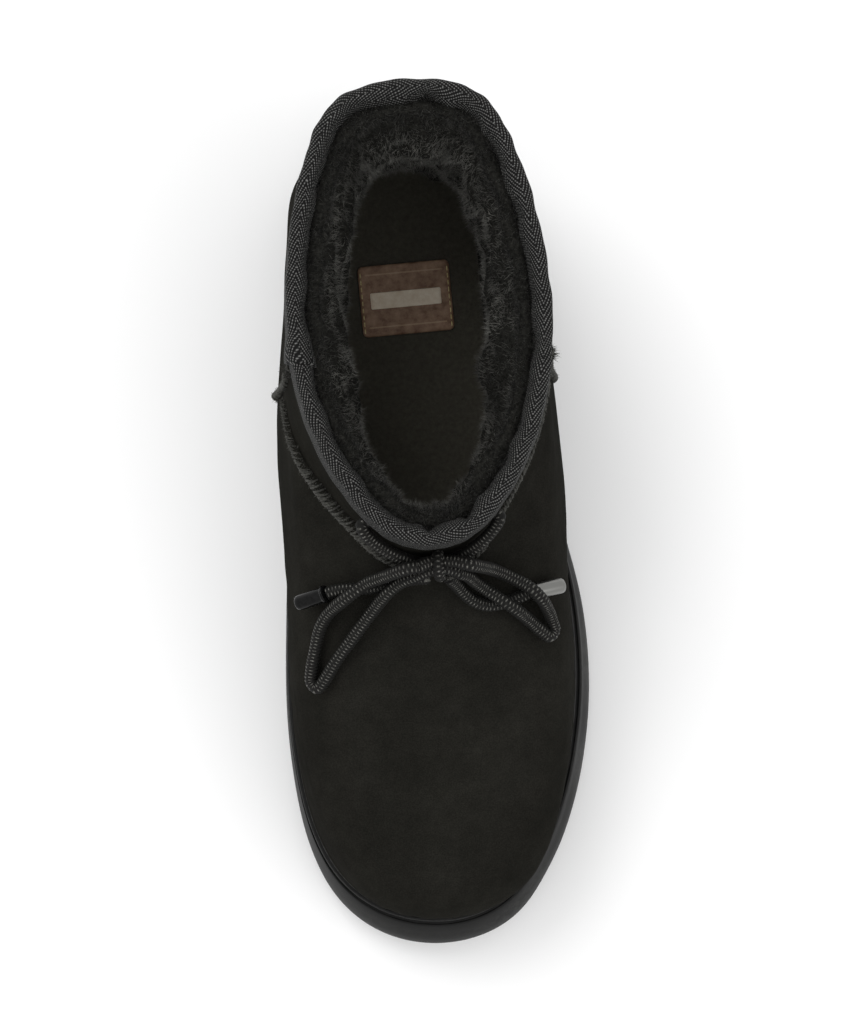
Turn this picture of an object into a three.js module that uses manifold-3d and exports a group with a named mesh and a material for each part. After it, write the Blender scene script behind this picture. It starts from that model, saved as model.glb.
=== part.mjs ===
// Sheepskin ankle boot for the left foot: a suede upper with a deep wool lining, a moulded rubber sole,
// a woven binding round the collar, raised seams and a cord tied in a bow.
// Millimetres. +Z is up, the toe points to -Y and the outer side of the foot lies towards +X.
import * as THREE from 'three';
import { mergeVertices } from 'three/addons/utils/BufferGeometryUtils.js';
import Module from 'manifold-3d';

// Driving sizes of the sole
const SOLE_LENGTH = 275;
const BALL_WIDTH = 102.5;
const LIP_HEEL = 34; // height of the sole's top edge at the heel
const LIP_TOE = 27; // and at the toe
const LIP_DIP = 4; // how far that edge dips between them
const LIP_WIDTH = 1.8; // bead along the top edge
const LIP_DEPTH = 7; // from the top edge down to the floor of the cup
const FLARE = { heel: 5, toe: 10.9, medial: 2.5, lateral: 7.7 }; // how far the sole stands out past the upper
const TOE_SPRING = 8;
const HEEL_BEVEL = 3;
const ARCH_RISE = 4;
const TREAD_DEPTH = 3;
const TREAD_GROOVE = 4.5; // width of one groove
const TREAD_PITCH = 12; // from groove to groove
const TREAD_RIM = 9; // uncut rubber round the edge
const TREAD_POINT = 7; // how far the middle of a groove runs ahead of its ends

// Driving sizes of the upper and what is sewn to it
const COLLAR_BACK = 129.5; // height of the upper's top edge at the back
const COLLAR_FRONT = 114.5; // and at the front
const COLLAR_BAND = 12; // height of the topmost section, which is even all round
const UPPER_WALL = 2;
const GAP = 0.3; // between pieces that meet
const PILE = 9.5; // depth of the wool in the shaft
const PILE_TOE = 4.5; // and towards the toe
const PILE_RIM = 7; // where the binding squeezes it
const PILE_DOWN = 2.5; // from the collar's edge down to the top of the wool
const LOCK_HEIGHT = 1.1; // how far the locks of the wool stand up and down
const TAPE = 0.9; // thickness of the binding
const TAPE_OUTSIDE = 9; // how far it reaches down the outside
const TAPE_INSIDE = 5.5; // and down the inside
const TAPE_LEAN = 3.2; // how far its inner edge spreads over the wool
const TAPE_CROWN = 2; // height of its rounded top over the edge
const SEAM_WIDTH = 4.6;
const SEAM_HEIGHT = 3;
const SEAM_ROOT = 0.4; // how far the middle of its section stands over the upper
const SEAM_SIDES = 10;
const INSOLE = 4; // thickness of the insole
const LABEL = { width: 31, length: 24, thickness: 0.8, back: 78, across: 1, turn: 4 };
const CORD = 4; // diameter of the lace
const CORD_SIDES = 8;
const KNOT = { wide: 10.4, deep: 6.8, high: 6.4 };
const AGLET = { radius: 2.6, rim: 0.3, rimLength: 1 };
const EYELET = { radius: 2.6, along: 5.5, height: 102.5 }; // the two holes that the lace comes out of

const HALF_LENGTH = SOLE_LENGTH / 2;
const AROUND = 48; // points in each ring round the shoe

// Outlines seen from above. `at` is the share of the length from heel to toe. Each column is how full an
// ellipse of that length is there, as a share of half the ball width: for the sole's inner (medial) and
// outer (lateral) side, for the widest part of the upper, and for the collar.
const OUTLINES = [
  { at: 0.0, soleMedial: 1.3, soleLateral: 1.3, bodyMedial: 1.33, bodyLateral: 1.33, collar: 1.3 },
  { at: 0.06, soleMedial: 1.25, soleLateral: 1.26, bodyMedial: 1.28, bodyLateral: 1.28, collar: 1.02 },
  { at: 0.14, soleMedial: 1.03, soleLateral: 1.05, bodyMedial: 1.05, bodyLateral: 1.11, collar: 0.865 },
  { at: 0.22, soleMedial: 0.86, soleLateral: 0.91, bodyMedial: 0.935, bodyLateral: 1.0, collar: 0.817 },
  { at: 0.3, soleMedial: 0.775, soleLateral: 0.85, bodyMedial: 0.91, bodyLateral: 0.955, collar: 0.792 },
  { at: 0.4, soleMedial: 0.765, soleLateral: 0.87, bodyMedial: 0.905, bodyLateral: 0.93, collar: 0.784 },
  { at: 0.5, soleMedial: 0.84, soleLateral: 0.96, bodyMedial: 0.885, bodyLateral: 0.92, collar: 0.784 },
  { at: 0.6, soleMedial: 0.91, soleLateral: 1.08, bodyMedial: 0.9, bodyLateral: 0.92, collar: 0.783 },
  { at: 0.7, soleMedial: 1.01, soleLateral: 1.165, bodyMedial: 0.965, bodyLateral: 0.975, collar: 0.777 },
  { at: 0.8, soleMedial: 1.13, soleLateral: 1.225, bodyMedial: 1.05, bodyLateral: 1.05, collar: 0.767 },
  { at: 0.88, soleMedial: 1.265, soleLateral: 1.275, bodyMedial: 1.15, bodyLateral: 1.15, collar: 0.75 },
  { at: 0.94, soleMedial: 1.4, soleLateral: 1.34, bodyMedial: 1.26, bodyLateral: 1.29, collar: 0.755 },
  { at: 1.0, soleMedial: 1.55, soleLateral: 1.55, bodyMedial: 1.52, bodyLateral: 1.52, collar: 0.8 },
];

// Sidewall of the sole from the tread up to the foot of the lip. `rise` is the share of the wall's height,
// `lean` the share of the flare and `tuck` what the bottom edge is drawn in by.
const SIDEWALL = [
  { rise: 0.0, lean: 0, tuck: 3.5 },
  { rise: 0.07, lean: 0, tuck: 1.2 },
  { rise: 0.18, lean: 0, tuck: 0.2 },
  { rise: 0.36, lean: 0.03, tuck: 0 },
  { rise: 0.56, lean: 0.2, tuck: 0 },
  { rise: 0.74, lean: 0.5, tuck: 0 },
  { rise: 0.87, lean: 0.82, tuck: 0 },
];

const mix = (a, b, t) => a + (b - a) * t;
const clamp = (t) => Math.min(1, Math.max(0, t));
const smooth = (t) => clamp(t) ** 2 * (3 - 2 * clamp(t));

// A smooth curve through one column of a table whose rows are in the order of `at`.
function along(rows, column, at) {
  const last = rows.length - 1;
  let i = 0;
  while (i < last - 1 && at > rows[i + 1].at) i += 1;
  const slope = (k) => {
    const before = rows[Math.max(0, k - 1)];
    const after = rows[Math.min(last, k + 1)];
    return (after[column] - before[column]) / (after.at - before.at);
  };
  const span = rows[i + 1].at - rows[i].at;
  const t = (at - rows[i].at) / span;
  const ease = smooth(t);
  const leave = t * (1 - t) ** 2;
  const arrive = t * t * (t - 1);
  return mix(rows[i][column], rows[i + 1][column], ease) + span * (leave * slope(i) + arrive * slope(i + 1));
}

// How full the outline is: form 0 is the sole's, 1 the body's and 2 the collar's.
function fullness(form, side, share) {
  const sole = along(OUTLINES, `sole${side}`, share);
  const body = along(OUTLINES, `body${side}`, share);
  const collar = along(OUTLINES, 'collar', share);
  return form < 1 ? mix(sole, body, form) : mix(body, collar, form - 1);
}

// A point of a ring round the shoe. Turn 0 is the back of the heel, 0.25 the inner side, 0.5 the toe and
// 0.75 the outer side.
function ringPoint(ring, turn) {
  const angle = 2 * Math.PI * turn;
  const share = (1 - Math.cos(angle)) / 2;
  const [side, scale] = turn % 1 < 0.5 ? ['Medial', ring.medial] : ['Lateral', ring.lateral];
  const half = (BALL_WIDTH / 2) * Math.sin(angle) * fullness(ring.form, side, share) * scale;
  return new THREE.Vector3(MIDDLE - half, mix(ring.heel, ring.toe, share), ring.height(share));
}

// How far the sole reaches out on each side, and the line down its middle that puts it centrally.
function reach(side) {
  const shares = Array.from({ length: 200 }, (_, i) => (i + 0.5) / 200);
  return Math.max(...shares.map((share) => 2 * Math.sqrt(share * (1 - share)) * fullness(0, side, share)));
}
const REACH = { medial: (BALL_WIDTH / 2) * reach('Medial'), lateral: (BALL_WIDTH / 2) * reach('Lateral') };
const MIDDLE = (REACH.medial - REACH.lateral) / 2;

const turns = (count = AROUND) => Array.from({ length: count }, (_, i) => i / count);

// Heights of the sole at a share of its length: the ground side, the top edge and the floor of the cup.
function treadHeight(share) {
  const spring = TOE_SPRING * clamp((share - 0.7) / 0.3) ** 2;
  const bevel = HEEL_BEVEL * clamp((0.07 - share) / 0.07) ** 2;
  const arch = ARCH_RISE * Math.sin(Math.PI * clamp((share - 0.27) / 0.25)) ** 2;
  return spring + bevel + arch;
}
const lipHeight = (share) => mix(LIP_HEEL, LIP_TOE, share) - LIP_DIP * 4 * share * (1 - share);
const cupHeight = (share) => lipHeight(share) - LIP_DEPTH;

// The sole's outline drawn in by so much at the heel, toe and sides.
function soleRing(inset, height) {
  return {
    heel: HALF_LENGTH - inset('heel'),
    toe: -HALF_LENGTH + inset('toe'),
    medial: 1 - inset('medial') / REACH.medial,
    lateral: 1 - inset('lateral') / REACH.lateral,
    form: 0,
    height,
  };
}

// Sections of the upper from its bottom edge, inside the sole's lip, up to the collar. `heel` and `toe` are
// where the section ends, as shares of half the sole's length, and `back` and `front` how high it is there,
// as shares of the way from the sole's lip to the collar. `medial` and `lateral` scale its sides.
const lip = soleRing((place) => FLARE[place], lipHeight);
const lipRow = { heel: lip.heel / HALF_LENGTH, toe: lip.toe / HALF_LENGTH, medial: lip.medial, lateral: lip.lateral };
const CUFF = {
  back: 1 - COLLAR_BAND / (COLLAR_BACK - LIP_HEEL),
  front: 1 - COLLAR_BAND / (COLLAR_FRONT - LIP_TOE),
};
const SECTIONS = [
  { at: 1, ...lipRow, back: 0, front: 0, form: 0 },
  { at: 2, heel: 0.97, toe: -0.921, medial: 1.0, lateral: 0.965, back: 0.09, front: 0.1, form: 0.6 },
  { at: 3, heel: 0.975, toe: -0.907, medial: 1.0, lateral: 1.0, back: 0.17, front: 0.2, form: 0.95 },
  { at: 4, heel: 0.974, toe: -0.866, medial: 0.995, lateral: 0.995, back: 0.25, front: 0.29, form: 1.1 },
  { at: 5, heel: 0.97, toe: -0.79, medial: 0.985, lateral: 0.985, back: 0.33, front: 0.358, form: 1.25 },
  { at: 6, heel: 0.964, toe: -0.68, medial: 0.98, lateral: 0.98, back: 0.42, front: 0.412, form: 1.42 },
  { at: 7, heel: 0.959, toe: -0.53, medial: 0.985, lateral: 0.985, back: 0.51, front: 0.47, form: 1.6 },
  { at: 8, heel: 0.956, toe: -0.36, medial: 0.99, lateral: 0.99, back: 0.6, front: 0.535, form: 1.78 },
  { at: 9, heel: 0.956, toe: -0.185, medial: 0.995, lateral: 0.995, back: 0.69, front: 0.61, form: 1.93 },
  { at: 10, heel: 0.96, toe: -0.069, medial: 1.0, lateral: 1.0, back: 0.78, front: 0.7, form: 2 },
  { at: 11, heel: 0.97, toe: -0.03, medial: 0.99, lateral: 0.99, back: CUFF.back, front: CUFF.front, form: 2 },
  { at: 12, heel: 0.988, toe: -0.013, medial: 0.97, lateral: 0.97, back: 1, front: 1, form: 2 },
];
const TOP = SECTIONS.length;
const LEVELS = [0, 1, 1.5, 2, 2.6, 3.2, 3.9, 4.6, 5.4, 6.3, 7.2, 8.1, 9, 9.6, 10.2, 11, TOP];
const INNER_LEVELS = [1, 1.9, 3, 4.1, 5.4, 6.8, 8.2, 9.3, 10.2, 11, TOP - (TAPE_INSIDE + 2) / COLLAR_BAND];
const PILE_TOP = TOP - PILE_DOWN / COLLAR_BAND;
const SOCK = 1 - (LIP_DEPTH - 2 * GAP - INSOLE) / (LIP_DEPTH - GAP); // the level where the wool meets the insole

// A ring of the upper's outer surface. From level 0 to 1 it runs straight up inside the sole's lip.
function upperRing(level) {
  const value = (column) => along(SECTIONS, column, Math.max(1, level));
  const [back, front] = [value('back'), value('front')];
  const dip = LIP_DIP * clamp((5 - level) / 4);
  const sunk = (LIP_DEPTH - GAP) * clamp(1 - level);
  return {
    heel: value('heel') * HALF_LENGTH,
    toe: value('toe') * HALF_LENGTH,
    medial: value('medial'),
    lateral: value('lateral'),
    form: clamp(value('form') / 2) * 2,
    height: (share) => mix(mix(LIP_HEEL, COLLAR_BACK, back), mix(LIP_TOE, COLLAR_FRONT, front), share)
      - dip * 4 * share * (1 - share) - sunk,
  };
}

// The frame of the upper's outer surface at a turn and level: the point, the way out and the way up.
function upperFrame(turn, level) {
  const [step, rise] = [0.002, 0.02];
  const at = (t, v) => ringPoint(upperRing(v), (t + 1) % 1);
  const point = at(turn, level);
  const round = at(turn + step, level).sub(at(turn - step, level));
  const up = at(turn, Math.min(TOP, level + rise)).sub(at(turn, Math.max(0, level - rise)));
  return { point, out: round.cross(up).normalize(), up: up.normalize() };
}

// A point of the upper, moved out of its surface by a distance.
function onUpper(turn, level, distance = 0) {
  const { point, out } = upperFrame(turn, level);
  return point.addScaledVector(out, distance);
}

// A closed body through rings of equally many points, joined end to start or capped at both ends.
function loft(rings, joined = false) {
  const count = rings[0].length;
  const points = rings.flat();
  const index = [];
  const quad = (a, b, c, d) => {
    const split = points[a].distanceTo(points[c]) <= points[b].distanceTo(points[d]);
    index.push(...(split ? [a, b, c, a, c, d] : [b, c, d, b, d, a]));
  };
  for (let r = 0; r < rings.length - (joined ? 0 : 1); r += 1) {
    const low = r * count;
    const high = ((r + 1) % rings.length) * count;
    for (let i = 0; i < count; i += 1) {
      const j = (i + 1) % count;
      quad(low + i, low + j, high + j, high + i);
    }
  }
  const cap = (base, facing) => {
    for (let i = 0; i < count / 2; i += 1) {
      const across = [i, i + 1, count - i - 1, (count - i) % count].map((k) => base + k);
      const corners = across.filter((k, n) => across.indexOf(k) === n);
      if (facing < 0) corners.reverse();
      for (let k = 1; k < corners.length - 1; k += 1) index.push(corners[0], corners[k], corners[k + 1]);
    }
  };
  if (!joined) {
    cap(0, -1);
    cap((rings.length - 1) * count, 1);
  }
  const geometry = new THREE.BufferGeometry();
  geometry.setAttribute('position', new THREE.Float32BufferAttribute(points.flatMap((p) => p.toArray()), 3));
  geometry.setIndex(index);
  return geometry;
}

const wasm = await Module();
wasm.setup();

function solid(geometry) {
  const bare = geometry.clone();
  bare.deleteAttribute('normal');
  bare.deleteAttribute('uv');
  const merged = mergeVertices(bare, 1e-4);
  return new wasm.Manifold(new wasm.Mesh({
    numProp: 3,
    vertProperties: new Float32Array(merged.attributes.position.array),
    triVerts: new Uint32Array(merged.index.array),
  }));
}

function geometryOf(body) {
  const { vertProperties, triVerts } = body.getMesh();
  const geometry = new THREE.BufferGeometry();
  geometry.setAttribute('position', new THREE.BufferAttribute(new Float32Array(vertProperties), 3));
  geometry.setIndex(new THREE.BufferAttribute(new Uint32Array(triVerts), 1));
  return geometry;
}

const shareAt = (y) => (HALF_LENGTH - y) / SOLE_LENGTH;

// The sole: a cup with a flared sidewall, a bead along its top edge and grooves cut into the tread.
function soleGeometry() {
  const ringAt = (inset, height) => {
    const ring = soleRing(inset, height);
    return turns().map((turn) => ringPoint(ring, turn));
  };
  const wall = (rise, inset) => ringAt(inset, (share) => mix(treadHeight(share), lipHeight(share), rise));
  const side = SIDEWALL.map(({ rise, lean, tuck }) => wall(rise, (p) => tuck + lean * (FLARE[p] - LIP_WIDTH)));
  const bead = [[0.9, 0.3], [0.93, 0], [0.985, 0], [1, 0.5]].map(
    ([rise, tuck]) => wall(rise, (p) => FLARE[p] - LIP_WIDTH + tuck),
  );
  const inner = [1, 0].map((level) => turns().map((turn) => onUpper(turn, level, GAP)));
  inner[0].forEach((p) => p.setZ(lipHeight(shareAt(p.y))));
  inner[1].forEach((p) => p.setZ(cupHeight(shareAt(p.y))));
  let body = solid(loft([...side, ...bead, ...inner]));
  const field = solid(loft([-5, TREAD_DEPTH].map((z) => ringAt(() => TREAD_RIM, () => z))));
  const grooves = treadGrooves().map((groove) => groove.intersect(field));
  grooves.forEach((groove) => {
    body = body.subtract(groove);
  });
  return geometryOf(body);
}

// Pointed grooves across the heel and the forefoot, following the spring of the toe.
function treadGrooves() {
  const halfWidth = BALL_WIDTH / 2;
  const outline = new THREE.Shape([
    new THREE.Vector2(-halfWidth, 0),
    new THREE.Vector2(0, -TREAD_POINT),
    new THREE.Vector2(halfWidth, 0),
    new THREE.Vector2(halfWidth, TREAD_GROOVE),
    new THREE.Vector2(0, TREAD_GROOVE - TREAD_POINT),
    new THREE.Vector2(-halfWidth, TREAD_GROOVE),
  ]);
  const grooves = [];
  const fields = [[0.09, 0.27], [0.53, 0.93]];
  fields.forEach(([from, to]) => {
    for (let y = HALF_LENGTH - from * SOLE_LENGTH - TREAD_PITCH; shareAt(y) < to; y -= TREAD_PITCH) {
      const bar = new THREE.ExtrudeGeometry(outline, { depth: TREAD_DEPTH + 5, bevelEnabled: false });
      bar.translate(0, y, treadHeight(shareAt(y)) - 5);
      grooves.push(solid(bar));
    }
  });
  return grooves;
}

// The upper: one wall from its edge inside the sole's lip up to the collar, punched for the two eyelets.
function upperGeometry() {
  const outside = LEVELS.map((level) => turns().map((turn) => onUpper(turn, level)));
  const inside = [0, SOCK, ...INNER_LEVELS, TOP].map((level) => turns().map((turn) => onUpper(turn, level, -UPPER_WALL)));
  let body = solid(loft([...outside, ...inside.reverse()], true));
  for (const side of [-1, 1]) {
    const { turn, level } = findOnUpper(side, EYELET.along, EYELET.height);
    const { point, out } = upperFrame(turn, level);
    const hole = new THREE.CylinderGeometry(EYELET.radius, EYELET.radius, 4 * UPPER_WALL, 12);
    hole.applyQuaternion(new THREE.Quaternion().setFromUnitVectors(new THREE.Vector3(0, 1, 0), out));
    hole.translate(...point.toArray());
    body = body.subtract(solid(hole));
  }
  return geometryOf(body);
}

const PILE_LEVELS = [SOCK, 1.3, 2.1, 3, 4, 5, 6, 7, 8, 8.8, 9.6, 10.2, 10.7, 11.2, 11.55, PILE_TOP];

// Depth of the wool at a turn and level, with its locks.
function pileDepth(turn, level) {
  const toeward = smooth((Math.abs(turn - 0.5) < 0.25 ? 1 : 0) * (7.5 - level) / 4);
  const deep = mix(PILE, PILE_TOE, toeward);
  const freed = smooth((TOP - 0.55 - level) / 1.1);
  const rooted = smooth((level - 0.7) / 1.2);
  const locks = LOCK_HEIGHT * Math.sin(2 * Math.PI * (17 * turn + 0.45 * level)) * Math.cos(2.3 * level + 9 * turn);
  return mix(PILE_RIM, mix(PILE_TOE, deep, rooted) + locks * rooted, freed);
}

// The wool lining: it stands on the insole and follows the inside of the upper, and the binding holds its rim.
function liningGeometry() {
  const skin = -UPPER_WALL - GAP;
  const held = skin - TAPE - GAP;
  const gripped = TOP - (TAPE_INSIDE + GAP) / COLLAR_BAND;
  const ring = (level, distance) => turns().map((turn) => onUpper(turn, level, distance(turn)));
  const outside = [SOCK, ...INNER_LEVELS].map((level) => ring(level, () => skin));
  const neck = [
    ring(gripped, () => skin),
    ring(gripped, () => held - TAPE_LEAN),
    ring(PILE_TOP, () => held - TAPE_LEAN / 2),
  ];
  const inside = PILE_LEVELS.map((level) => ring(level, (turn) => skin - pileDepth(turn, level)));
  return loft([...outside, ...neck, ...inside.reverse()], true);
}

// The binding: a folded tape that clasps the upper's wall and crowns it.
function bindingGeometry() {
  const outer = GAP + TAPE;
  const inner = -UPPER_WALL - GAP;
  const profile = [
    [outer, -TAPE_OUTSIDE],
    [outer, -TAPE_OUTSIDE / 2],
    [outer, 0.3 * TAPE_CROWN],
    [outer - 0.8, 0.8 * TAPE_CROWN],
    [-UPPER_WALL / 2, TAPE_CROWN],
    [inner - TAPE + 0.8, 0.8 * TAPE_CROWN],
    [inner - TAPE, 0.3 * TAPE_CROWN],
    [inner - TAPE - TAPE_LEAN, -TAPE_INSIDE],
    [inner - TAPE_LEAN, -TAPE_INSIDE],
    [inner, GAP],
    [GAP, GAP],
    [GAP, -TAPE_OUTSIDE],
  ];
  return loft(profile.map(([distance, rise]) => turns().map((turn) => overCollar(turn, distance, rise))), true);
}

// A point by its distance out of the upper's surface and its height over the collar's edge.
function overCollar(turn, distance, rise) {
  const { point, out, up } = upperFrame(turn, TOP + Math.min(0, rise) / COLLAR_BAND);
  return point.addScaledVector(out, distance).addScaledVector(up, Math.max(0, rise));
}

// The level at which the upper, at a place along the shoe, has a height. Side is -1 for medial, 1 for lateral.
function findOnUpper(side, along, height) {
  let [low, high] = [0, TOP];
  let found;
  for (let i = 0; i < 40; i += 1) {
    const level = (low + high) / 2;
    const ring = upperRing(level);
    const share = clamp((ring.heel - along) / (ring.heel - ring.toe));
    found = { level, turn: 0.5 + side * (0.5 - Math.acos(1 - 2 * share) / (2 * Math.PI)) };
    if (ring.height(share) < height) low = level;
    else high = level;
  }
  return found;
}

// A raised seam: a rounded ridge along a path on the upper, which is a list of places {side, along, height}.
function seamGeometry(path) {
  const frames = path.map(({ side, along, height }) => {
    const { turn, level } = findOnUpper(side, along, height);
    return upperFrame(turn, level);
  });
  const rings = frames.map(({ point, out }, i) => {
    const before = frames[Math.max(0, i - 1)].point;
    const after = frames[Math.min(frames.length - 1, i + 1)].point;
    const across = new THREE.Vector3().crossVectors(out, after.clone().sub(before)).normalize();
    return turns(SEAM_SIDES).map((turn) => {
      const [wide, high] = [Math.cos(2 * Math.PI * turn), Math.sin(2 * Math.PI * turn)];
      return point.clone()
        .addScaledVector(across, (wide * SEAM_WIDTH) / 2)
        .addScaledVector(out, SEAM_ROOT + high * (SEAM_HEIGHT + GAP - SEAM_ROOT));
    });
  });
  return geometryOf(solid(loft(rings)).subtract(upperEnvelope()));
}

// The upper and the gap around it, filled.
function upperEnvelope() {
  return solid(loft(LEVELS.map((level) => turns().map((turn) => onUpper(turn, level, GAP)))));
}

// The insole lies in the cup of the sole, within the upper.
const insoleHeight = (share) => cupHeight(share) + GAP + INSOLE;
function insoleGeometry() {
  const edge = turns().map((turn) => onUpper(turn, 0, -UPPER_WALL - GAP));
  return loft([cupHeight, insoleHeight].map((height, i) => edge.map(
    (p) => new THREE.Vector3(p.x, p.y, height(shareAt(p.y)) + (i ? 0 : GAP)),
  )));
}

// The sewn patch under the heel.
function labelGeometry() {
  const { width, length, thickness, back, across, turn } = LABEL;
  const patch = new THREE.BoxGeometry(width, length, thickness, 1, 4, 1);
  patch.rotateZ(THREE.MathUtils.degToRad(turn));
  patch.translate(MIDDLE + across, back, GAP + thickness / 2);
  const place = patch.attributes.position;
  for (let i = 0; i < place.count; i += 1) place.setZ(i, place.getZ(i) + insoleHeight(shareAt(place.getY(i))));
  return geometryOf(solid(patch));
}

// The lace's routes, point by point. The bar runs from eyelet to eyelet behind the knot, the two loops leave
// the knot and come back to it, and the two ends lie on the vamp under the loops.
const LACE_BAR = [
  [-23.2, 5.8, 102.4], [-25, 4.2, 102.8], [-21.9, -0.7, 100.9], [-12.5, -6.9, 97.4], [-2, -9.3, 93.6],
  [7.4, -6, 97.2], [14.3, -0.7, 100.9], [17.4, 4.2, 102.8], [15.6, 5.8, 102.4],
];
const KNOT_PLACE = [-2.2, -9.2, 99];
const LOOP_MEDIAL = [
  [-8.3, -9.4, 101.6], [-12, -9.8, 101.2], [-16, -11, 98], [-20, -12.3, 92.6], [-24, -13.6, 89.2], [-28, -16, 88],
  [-31.4, -18.3, 86], [-34.9, -20.9, 81.6], [-37.6, -23.8, 78.2], [-39.5, -27.2, 75.8], [-40.8, -31, 74.1],
  [-42, -35.6, 72.1], [-43, -40.2, 70.1], [-43.4, -44, 68.8], [-41.8, -46.2, 69.6], [-39.3, -43.9, 71.6],
  [-37, -40.4, 73.7], [-34.4, -36.7, 75.8], [-31.1, -32.7, 78], [-27.8, -28.6, 80], [-24.4, -24.5, 82.3],
  [-21, -20.4, 85.6], [-17.7, -16.9, 90.4], [-14.4, -14.4, 92.6], [-11.2, -13, 95.2], [-8.2, -12.2, 97],
];
const LOOP_LATERAL = [
  [3.7, -8.8, 101.2], [7.4, -9.9, 101], [11, -10.9, 96.4], [14.4, -11.9, 90.4], [17.8, -13.4, 87],
  [21.2, -15.3, 85.6], [24.6, -17.3, 85.4], [27.8, -19.8, 86], [30.4, -22.8, 84.4], [32.5, -26.2, 78.6],
  [33.8, -29.6, 75.2], [34.6, -33, 73.2], [32.9, -34.9, 73.8], [30.3, -33, 75.4], [27.5, -30.3, 77.4],
  [24.6, -27.6, 81], [21.6, -25, 85.4], [18.6, -22.8, 86.8], [15.4, -20.3, 86.4], [12.2, -17.8, 86.4],
  [9.2, -15.4, 88.8], [6.7, -13.3, 93.8], [3.8, -12.2, 97.2],
];
const END_MEDIAL = [
  [-5.6, -13.3, 93.3], [-9.2, -13.2, 91], [-13, -13.8, 88.3], [-17, -14.6, 86.5], [-21, -15.2, 85.2],
  [-25.2, -15.4, 84.1], [-29.4, -15.2, 83], [-33.2, -15.5, 81.7], [-36.6, -16.2, 80.6],
];
const END_LATERAL = [
  [1.1, -13.6, 93.1], [3.4, -16, 89], [5.8, -19, 86.4], [8.4, -21.4, 84.6], [11.2, -22.9, 83.3],
  [14.8, -23.5, 82.3], [18.6, -23.1, 81.7], [22.5, -22, 81.2], [26.6, -20.4, 80.9],
];
const AGLET_MEDIAL = [[-37, -16.3, 80.4], [-46.3, -18.9, 74.9]];
const AGLET_LATERAL = [[27.4, -20.3, 80.8], [38.2, -19, 75.8]];

const points = (route) => route.map((p) => new THREE.Vector3(...p));

function cordGeometry(route, steps) {
  const section = new THREE.Shape(turns(CORD_SIDES).map((turn) => new THREE.Vector2(
    (CORD / 2) * Math.cos(2 * Math.PI * turn),
    (CORD / 2) * Math.sin(2 * Math.PI * turn),
  )));
  const extrudePath = new THREE.CatmullRomCurve3(points(route));
  return geometryOf(solid(new THREE.ExtrudeGeometry(section, { steps, extrudePath, bevelEnabled: false })));
}

function knotGeometry() {
  const knot = new THREE.SphereGeometry(0.5, 14, 8);
  knot.scale(KNOT.wide, KNOT.deep, KNOT.high);
  knot.translate(...KNOT_PLACE);
  return geometryOf(solid(knot));
}

// The metal tip on a lace's end, from where the cord stops to its own end.
function agletGeometry([from, to]) {
  const [start, end] = points([from, to]);
  const run = end.clone().sub(start);
  const { radius, rim, rimLength } = AGLET;
  const length = run.length();
  const profile = [
    [0, GAP], [radius, GAP], [radius, rimLength], [radius - rim, rimLength], [radius - rim, length - rim],
    [radius - 2 * rim, length], [0, length],
  ];
  const tip = new THREE.LatheGeometry(profile.map(([x, y]) => new THREE.Vector2(x, y)), 12);
  tip.applyQuaternion(new THREE.Quaternion().setFromUnitVectors(new THREE.Vector3(0, 1, 0), run.normalize()));
  tip.translate(...from);
  return geometryOf(solid(tip));
}

const root = new THREE.Group();
function add(name, geometry, color, roughness = 0.9, metalness = 0) {
  const mesh = new THREE.Mesh(geometry, new THREE.MeshStandardMaterial({ color, roughness, metalness }));
  mesh.name = name;
  root.add(mesh);
  return mesh;
}

// Where the raised seams run, by the place along the shoe and the height: the side seams from the sole up,
// the vamp seam from one side seam round the front to the other.
const place = (side) => ([along, height]) => ({ side, along, height });
const SIDE_SEAM = [[47, 33], [47.5, 45], [48.5, 58], [50, 72], [51.5, 86], [53, 98], [54.5, 109]];
const VAMP_SEAM_MEDIAL = [
  [45.3, 72], [41, 77.5], [37, 81.3], [31, 84.7], [26, 86.6], [19.5, 88.4], [14, 89.2], [7, 90], [1.3, 90], [-4, 89],
  [-7.6, 88.4],
];
const VAMP_SEAM_LATERAL = [
  [-10.3, 88], [-7.6, 88.2], [-4, 89], [1, 91.3], [7, 94.6], [13, 97.8], [20, 100.4], [28, 102.2], [36, 103.4],
  [45.8, 104.4],
];

add('sole', soleGeometry(), 0x1b1c1f, 0.6);
add('upper', upperGeometry(), 0x151412, 0.95);
add('lining', liningGeometry(), 0x17171a, 1);
add('insole', insoleGeometry(), 0x121212, 1);
add('insole_label', labelGeometry(), 0x5a3a22, 0.7);
add('collar_binding', bindingGeometry(), 0x1a1a1a, 0.9);
add('side_seam_medial', seamGeometry(SIDE_SEAM.map(place(-1))), 0x151412, 0.95);
add('side_seam_lateral', seamGeometry(SIDE_SEAM.map(place(1))), 0x151412, 0.95);
const vampSeam = [...VAMP_SEAM_MEDIAL.map(place(-1)), ...VAMP_SEAM_LATERAL.map(place(1))];
add('vamp_seam', seamGeometry(vampSeam), 0x151412, 0.95);
add('lace_bar', cordGeometry(LACE_BAR, 22), 0x0d0d0e, 0.8);
add('lace_knot', knotGeometry(), 0x0d0d0e, 0.8);
add('lace_loop_medial', cordGeometry(LOOP_MEDIAL, 26), 0x0d0d0e, 0.8);
add('lace_loop_lateral', cordGeometry(LOOP_LATERAL, 22), 0x0d0d0e, 0.8);
add('lace_end_medial', cordGeometry(END_MEDIAL, 7), 0x0d0d0e, 0.8);
add('lace_end_lateral', cordGeometry(END_LATERAL, 7), 0x0d0d0e, 0.8);
add('aglet_medial', agletGeometry(AGLET_MEDIAL), 0x2b2b2e, 0.3, 1);
add('aglet_lateral', agletGeometry(AGLET_LATERAL), 0x2b2b2e, 0.3, 1);

export default root;
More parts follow.
